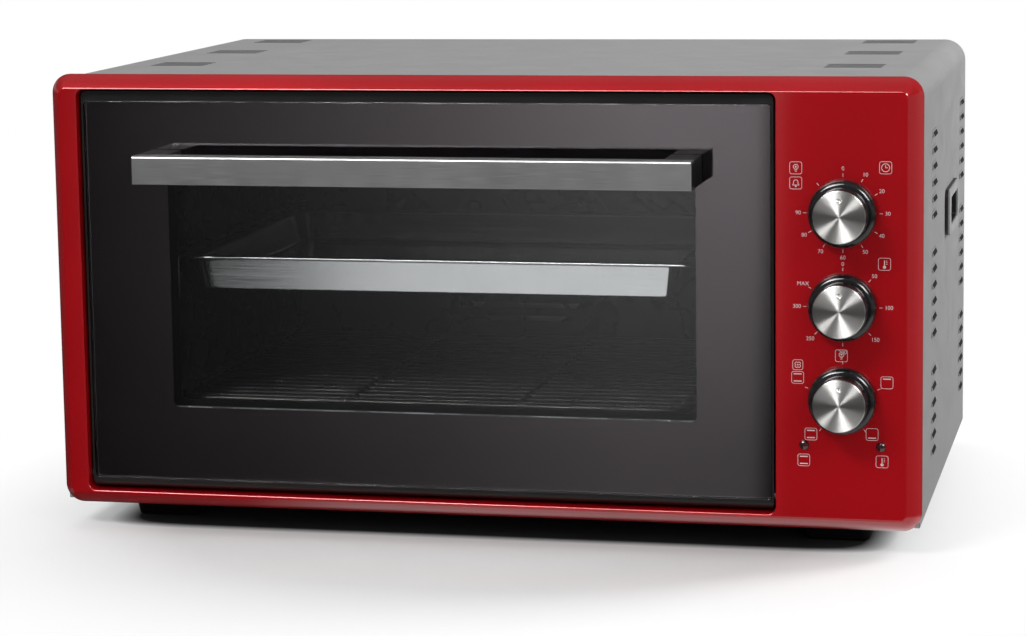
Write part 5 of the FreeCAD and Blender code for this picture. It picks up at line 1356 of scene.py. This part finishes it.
def slot_painted_shade():
    """A dark stadium of painted shade for every slot, a little below and a little above the sheet's
    face.
    """
    pairs = []
    for share in SLOT_ROW_SHARES:
        for step in SLOT_STEPS:
            middle = face_y + share * (case_end - face_y) + step * SLOT_PITCH
            for side in (-1, 1):
                outer_end = side * (case_side - SLOT_EDGE)
                ends = sorted((outer_end, outer_end - side * SLOT_LENGTH))
                rect = (*ends, middle - SLOT_WIDTH / 2, middle + SLOT_WIDTH / 2)
                heights = (case_top - VENT_DEPTH, case_top + VENT_PROUD)
                pairs.append([top_ring(rect, SLOT_WIDTH / 2 - VENT_PROUD, z) for z in heights])
    return pairs


place_vent_shade("top_slot_painted_shade", slot_painted_shade())

# %% [markdown]
# The print round the dials is fine pale lettering, drawn flat in millimetres. Lines are
# ribbons: each point of a line moves half the width to both sides, along the mean of its
# neighbours' normals. Discs, circles and arcs are points at even turns round a centre.

# %% Lines and discs
LINE = 0.38
THIN_LINE = 0.3
HEAVY_LINE = 0.7


def unit(vectors):
    """Vectors divided by their lengths."""
    return vectors / np.linalg.norm(vectors, axis=-1, keepdims=True)


def ribbon(points, width=LINE, closed=False):
    """Quads along a line: both sides stand off by half the width over the cosine of half
    the turn, so that the ribbon keeps its width round corners."""
    points = np.asarray(points, float)
    after = unit(np.roll(points, -1, 0) - points)
    before = np.roll(after, 1, 0)
    if not closed:
        before[0] = after[0]
        after[-1] = before[-1]
    normal_after = np.stack([-after[:, 1], after[:, 0]], -1)
    normal_before = np.stack([-before[:, 1], before[:, 0]], -1)
    mean = normal_after + normal_before
    mean /= (mean * normal_after).sum(-1, keepdims=True)
    left = points + width / 2 * mean
    right = points - width / 2 * mean
    quads = np.stack([right, np.roll(right, -1, 0), np.roll(left, -1, 0), left], 1)
    return list(quads if closed else quads[:-1])


def round_points(u, v, radius, angle):
    """Points round a centre: the radius times the cosine and sine of each angle."""
    return np.stack([u + radius * np.cos(angle), v + radius * np.sin(angle)], -1)


def disc(u, v, radius, sides=20):
    """One flat polygon with its points at even turns."""
    return [round_points(u, v, radius, np.linspace(0, 2 * math.pi, sides, endpoint=False))]


def circle(u, v, radius, sides=24):
    """A ribbon round a disc's border."""
    return ribbon(disc(u, v, radius, sides)[0], closed=True)


def arc(u, v, radius, start, end, sides=10):
    """A ribbon along part of a circle, from one turn in degrees to another."""
    return ribbon(round_points(u, v, radius, np.radians(np.linspace(start, end, sides))))


print("quads in a circle:", len(circle(0, 0, 1)))

# %% [markdown]
# Numbers come from Blender's own font, turned into a mesh. Everything for one dial is
# gathered as flat polygons, laid a few hundredths of a millimetre proud of the panel, and
# given its thickness by a Solidify modifier.

# %% Numbers and the laying of print
DIGIT_SIZE = 3.5
PRINT_PROUD = 0.05 * MM
PRINT_THICK = 0.07 * MM


def words(text, u, v):
    """Flat polygons of a short text, centred on a point, from the built-in font."""
    curve = bpy.data.curves.new("lettering", "FONT")
    curve.body = text
    curve.size = DIGIT_SIZE
    curve.align_x = "CENTER"
    curve.align_y = "CENTER"
    carrier = bpy.data.objects.new("lettering", curve)
    flat = bpy.data.meshes.new_from_object(carrier)
    places = np.empty(3 * len(flat.vertices), np.float32)
    flat.vertices.foreach_get("co", places)
    corners = places.reshape(-1, 3)[:, :2] + np.array((u, v))
    polygons = [corners[list(face.vertices)] for face in flat.polygons]
    bpy.data.objects.remove(carrier)
    bpy.data.meshes.remove(flat)
    bpy.data.curves.remove(curve)
    return polygons


def facing_front(polygon, first):
    """The polygon's point numbers, reversed where its signed area says that it turns
    clockwise: half the sum of each u times the next v, less each next u times v."""
    u, v = polygon[:, 0], polygon[:, 1]
    order = list(range(first, first + len(polygon)))
    return order if (u * np.roll(v, -1) - np.roll(u, -1) * v).sum() > 0 else order[::-1]


def lay_print(name, polygons, x, z):
    """Places flat polygons, in millimetres round a point of the panel, on its face."""
    flat = np.vstack(polygons) * MM
    points = np.stack([x + flat[:, 0], np.full(len(flat), face_y - PRINT_PROUD), z + flat[:, 1]], -1)
    firsts = np.cumsum([0] + [len(polygon) for polygon in polygons[:-1]]).tolist()
    faces = [facing_front(polygon, first) for polygon, first in zip(polygons, firsts)]
    mesh = bpy.data.meshes.new(name)
    mesh.from_pydata(points.tolist(), [], faces)
    piece = place_piece(name, mesh, "dial_print", HOUSING)
    thick = piece.modifiers.new("thickness", "SOLIDIFY")
    thick.thickness = PRINT_THICK
    thick.offset = -1.0
    print(name, "polygons:", len(polygons))


print("polygons in a number:", len(words("90", 0, 0)))

# %% [markdown]
# Timer: minutes from 0 to 90 go clockwise, thirty degrees a step, and one more tick on the
# left marks the place where the oven stays on. Thermostat: 0 at the top, 50 to 300 in
# forty-five-degree steps, then the highest setting. Selector: five places, each with a
# picture of its own.

# %% Dial scales
TICK_FROM = 22.9
TICK_TO = 24.9
NUMBER_AT = 28.0
NUMBER_STEP = 0.9
TIMER_MARKS = [(30.0 * n, str(10 * n)) for n in range(10)] + [(-41.0, "")]
HEAT_MARKS = [(0.0, "0")] + [(45.0 * n, str(50 * n)) for n in range(1, 7)] + [(300.0, "MAX")]
SELECTOR_MARKS = [(72.0 * n, "") for n in range(5)]


def around(turn, radius):
    """A place round a dial; turn is in degrees clockwise from the top."""
    return radius * math.sin(math.radians(turn)), radius * math.cos(math.radians(turn))


def dial_scale(marks, outwards=0.0):
    """Ticks and their numbers, from pairs of turn and text. Each letter over two moves its
    text outwards by the given step, because longer words need more room at the sides."""
    polygons = []
    for turn, text in marks:
        polygons += ribbon([around(turn, TICK_FROM), around(turn, TICK_TO)])
        if text:
            polygons += words(text, *around(turn, NUMBER_AT + outwards * (len(text) - 2)))
    return polygons


print("marks:", len(TIMER_MARKS), len(HEAT_MARKS), len(SELECTOR_MARKS))

# %% [markdown]
# The small pictures follow the oven's functions: a lamp, a bell for the timer, a clock, a
# thermometer, a fan, and the oven's chamber with a heavy bar where a heater is on. Each
# stands in a box with rounded corners, and a few points in millimetres from the box's
# centre draw it.

# %% Pictures of lamp, bell, clock and thermometer
BOX = 7.6
FAN_BOX = 6.4
BOX_CORNER = 1.3


def picture_box(u, v, size=BOX):
    """A thin rounded square round a centre."""
    half = size / 2
    outline = rounded((u - half, u + half, v - half, v + half), BOX_CORNER, 4)
    return ribbon(outline, THIN_LINE, closed=True)


def strokes(u, v, *lines, width=LINE):
    """Ribbons along lines whose points are given from the centre."""
    return [quad for line in lines for quad in ribbon(np.array(line) + (u, v), width)]


def lamp_picture(u, v):
    """A bulb: a circle with a dot, over two short lines."""
    base = strokes(u, v, [(-0.8, -1.3), (0.8, -1.3)], [(-0.6, -2.1), (0.6, -2.1)])
    return picture_box(u, v) + circle(u, v + 0.7, 1.5) + disc(u, v + 0.7, 0.55) + base


def bell_picture(u, v):
    """A bell: a half circle on two flared sides, over a clapper."""
    sides = strokes(
        u, v, [(-2.1, -1.3), (-1.4, -0.4), (-1.4, 0.6)], [(1.4, 0.6), (1.4, -0.4), (2.1, -1.3)],
        [(-2.1, -1.3), (2.1, -1.3)],
    )
    return picture_box(u, v) + sides + arc(u, v + 0.6, 1.4, 0, 180) + disc(u, v - 2.1, 0.5)


def clock_picture(u, v):
    """A clock: a circle and two hands at a right angle."""
    return picture_box(u, v) + circle(u, v, 2.5) + strokes(u, v, [(0, 1.6), (0, 0), (1.3, 0)])


def thermometer_picture(u, v):
    """A thermometer: a heavy stem over a bulb, with three thin ticks beside it."""
    stem = strokes(u, v, [(0, -1.3), (0, 2.4)], width=0.55)
    ticks = strokes(u, v, *[[(0.9, h), (1.8, h)] for h in (0.0, 1.0, 2.0)], width=THIN_LINE)
    return picture_box(u, v) + stem + disc(u, v - 1.9, 1.0) + ticks


print("polygons in the bell:", len(bell_picture(0, 0)))

# %% Pictures of heaters and fan
UPPER_BAR = [(-2.5, 2.3), (2.5, 2.3)]
LOWER_BAR = [(-2.5, -2.3), (2.5, -2.3)]


def upper_heater(u, v):
    """The chamber with the upper heater on."""
    return picture_box(u, v) + strokes(u, v, UPPER_BAR, width=HEAVY_LINE)


def lower_heater(u, v):
    """The chamber with the lower heater on."""
    return picture_box(u, v) + strokes(u, v, LOWER_BAR, width=HEAVY_LINE)


def both_heaters(u, v):
    """The chamber with both heaters on."""
    return picture_box(u, v) + strokes(u, v, UPPER_BAR, LOWER_BAR, width=HEAVY_LINE)


def fan_picture(u, v):
    """Four blades round a hub: each is a half circle about a point beside the hub."""
    polygons = picture_box(u, v, FAN_BOX) + disc(u, v, 0.45)
    for turn in (0, 90, 180, 270):
        blade_u, blade_v = round_points(u, v, 1.05, math.radians(turn + 45))
        polygons += arc(blade_u, blade_v, 1.0, turn - 20, turn + 170)
    return polygons


print("polygons in the fan:", len(fan_picture(0, 0)))

# %% The printed panel
TIMER_PICTURES = [(lamp_picture, -29.5, 28.2), (bell_picture, -29.5, 18.7), (clock_picture, 26.5, 28.8)]
HEAT_PICTURES = [(thermometer_picture, 26.0, 27.6)]
SELECTOR_PICTURES = [
    (lamp_picture, -0.8, 28.3), (upper_heater, 27.8, 11.8), (lower_heater, 18.6, -21.5),
    (both_heaters, -20.0, -22.3), (both_heaters, -28.4, 13.8), (fan_picture, -28.3, 21.9),
]
INDICATOR_PICTURES = [(both_heaters, -24.5, -9.7), (thermometer_picture, 24.9, -9.4)]


def drawn(pictures):
    """All polygons of a list of pictures and their places."""
    return [polygon for picture, u, v in pictures for polygon in picture(u, v)]


timer_x, timer_z = dial_centre("timer")
lay_print("timer_print", dial_scale(TIMER_MARKS) + drawn(TIMER_PICTURES), timer_x, timer_z)
heat_x, heat_z = dial_centre("thermostat")
heat_print = dial_scale(HEAT_MARKS, NUMBER_STEP) + drawn(HEAT_PICTURES)
lay_print("thermostat_print", heat_print, heat_x, heat_z)
select_x, select_z = dial_centre("selector")
lay_print("selector_print", dial_scale(SELECTOR_MARKS) + drawn(SELECTOR_PICTURES), select_x, select_z)
lens_low, lens_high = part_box("indicator_lens_left")
lay_print("indicator_print", drawn(INDICATOR_PICTURES), select_x, (lens_low.z + lens_high.z) / 2)

# %% [markdown]
# The two strips are there for the bezel, the handle and the caps. Seen from behind, the
# casing's broad top would mirror them as one white sheet, so the casing is taken out of
# their light.

# %% Strips kept off the casing
casing_group = bpy.data.collections.new("casing_without_strips")
casing_group.objects.link(bpy.data.objects["outer_casing_skin"])
for member in casing_group.collection_objects:
    member.light_linking.link_state = "EXCLUDE"
for name in ("left_strip", "right_strip"):
    bpy.data.objects[name].light_linking.receiver_collection = casing_group
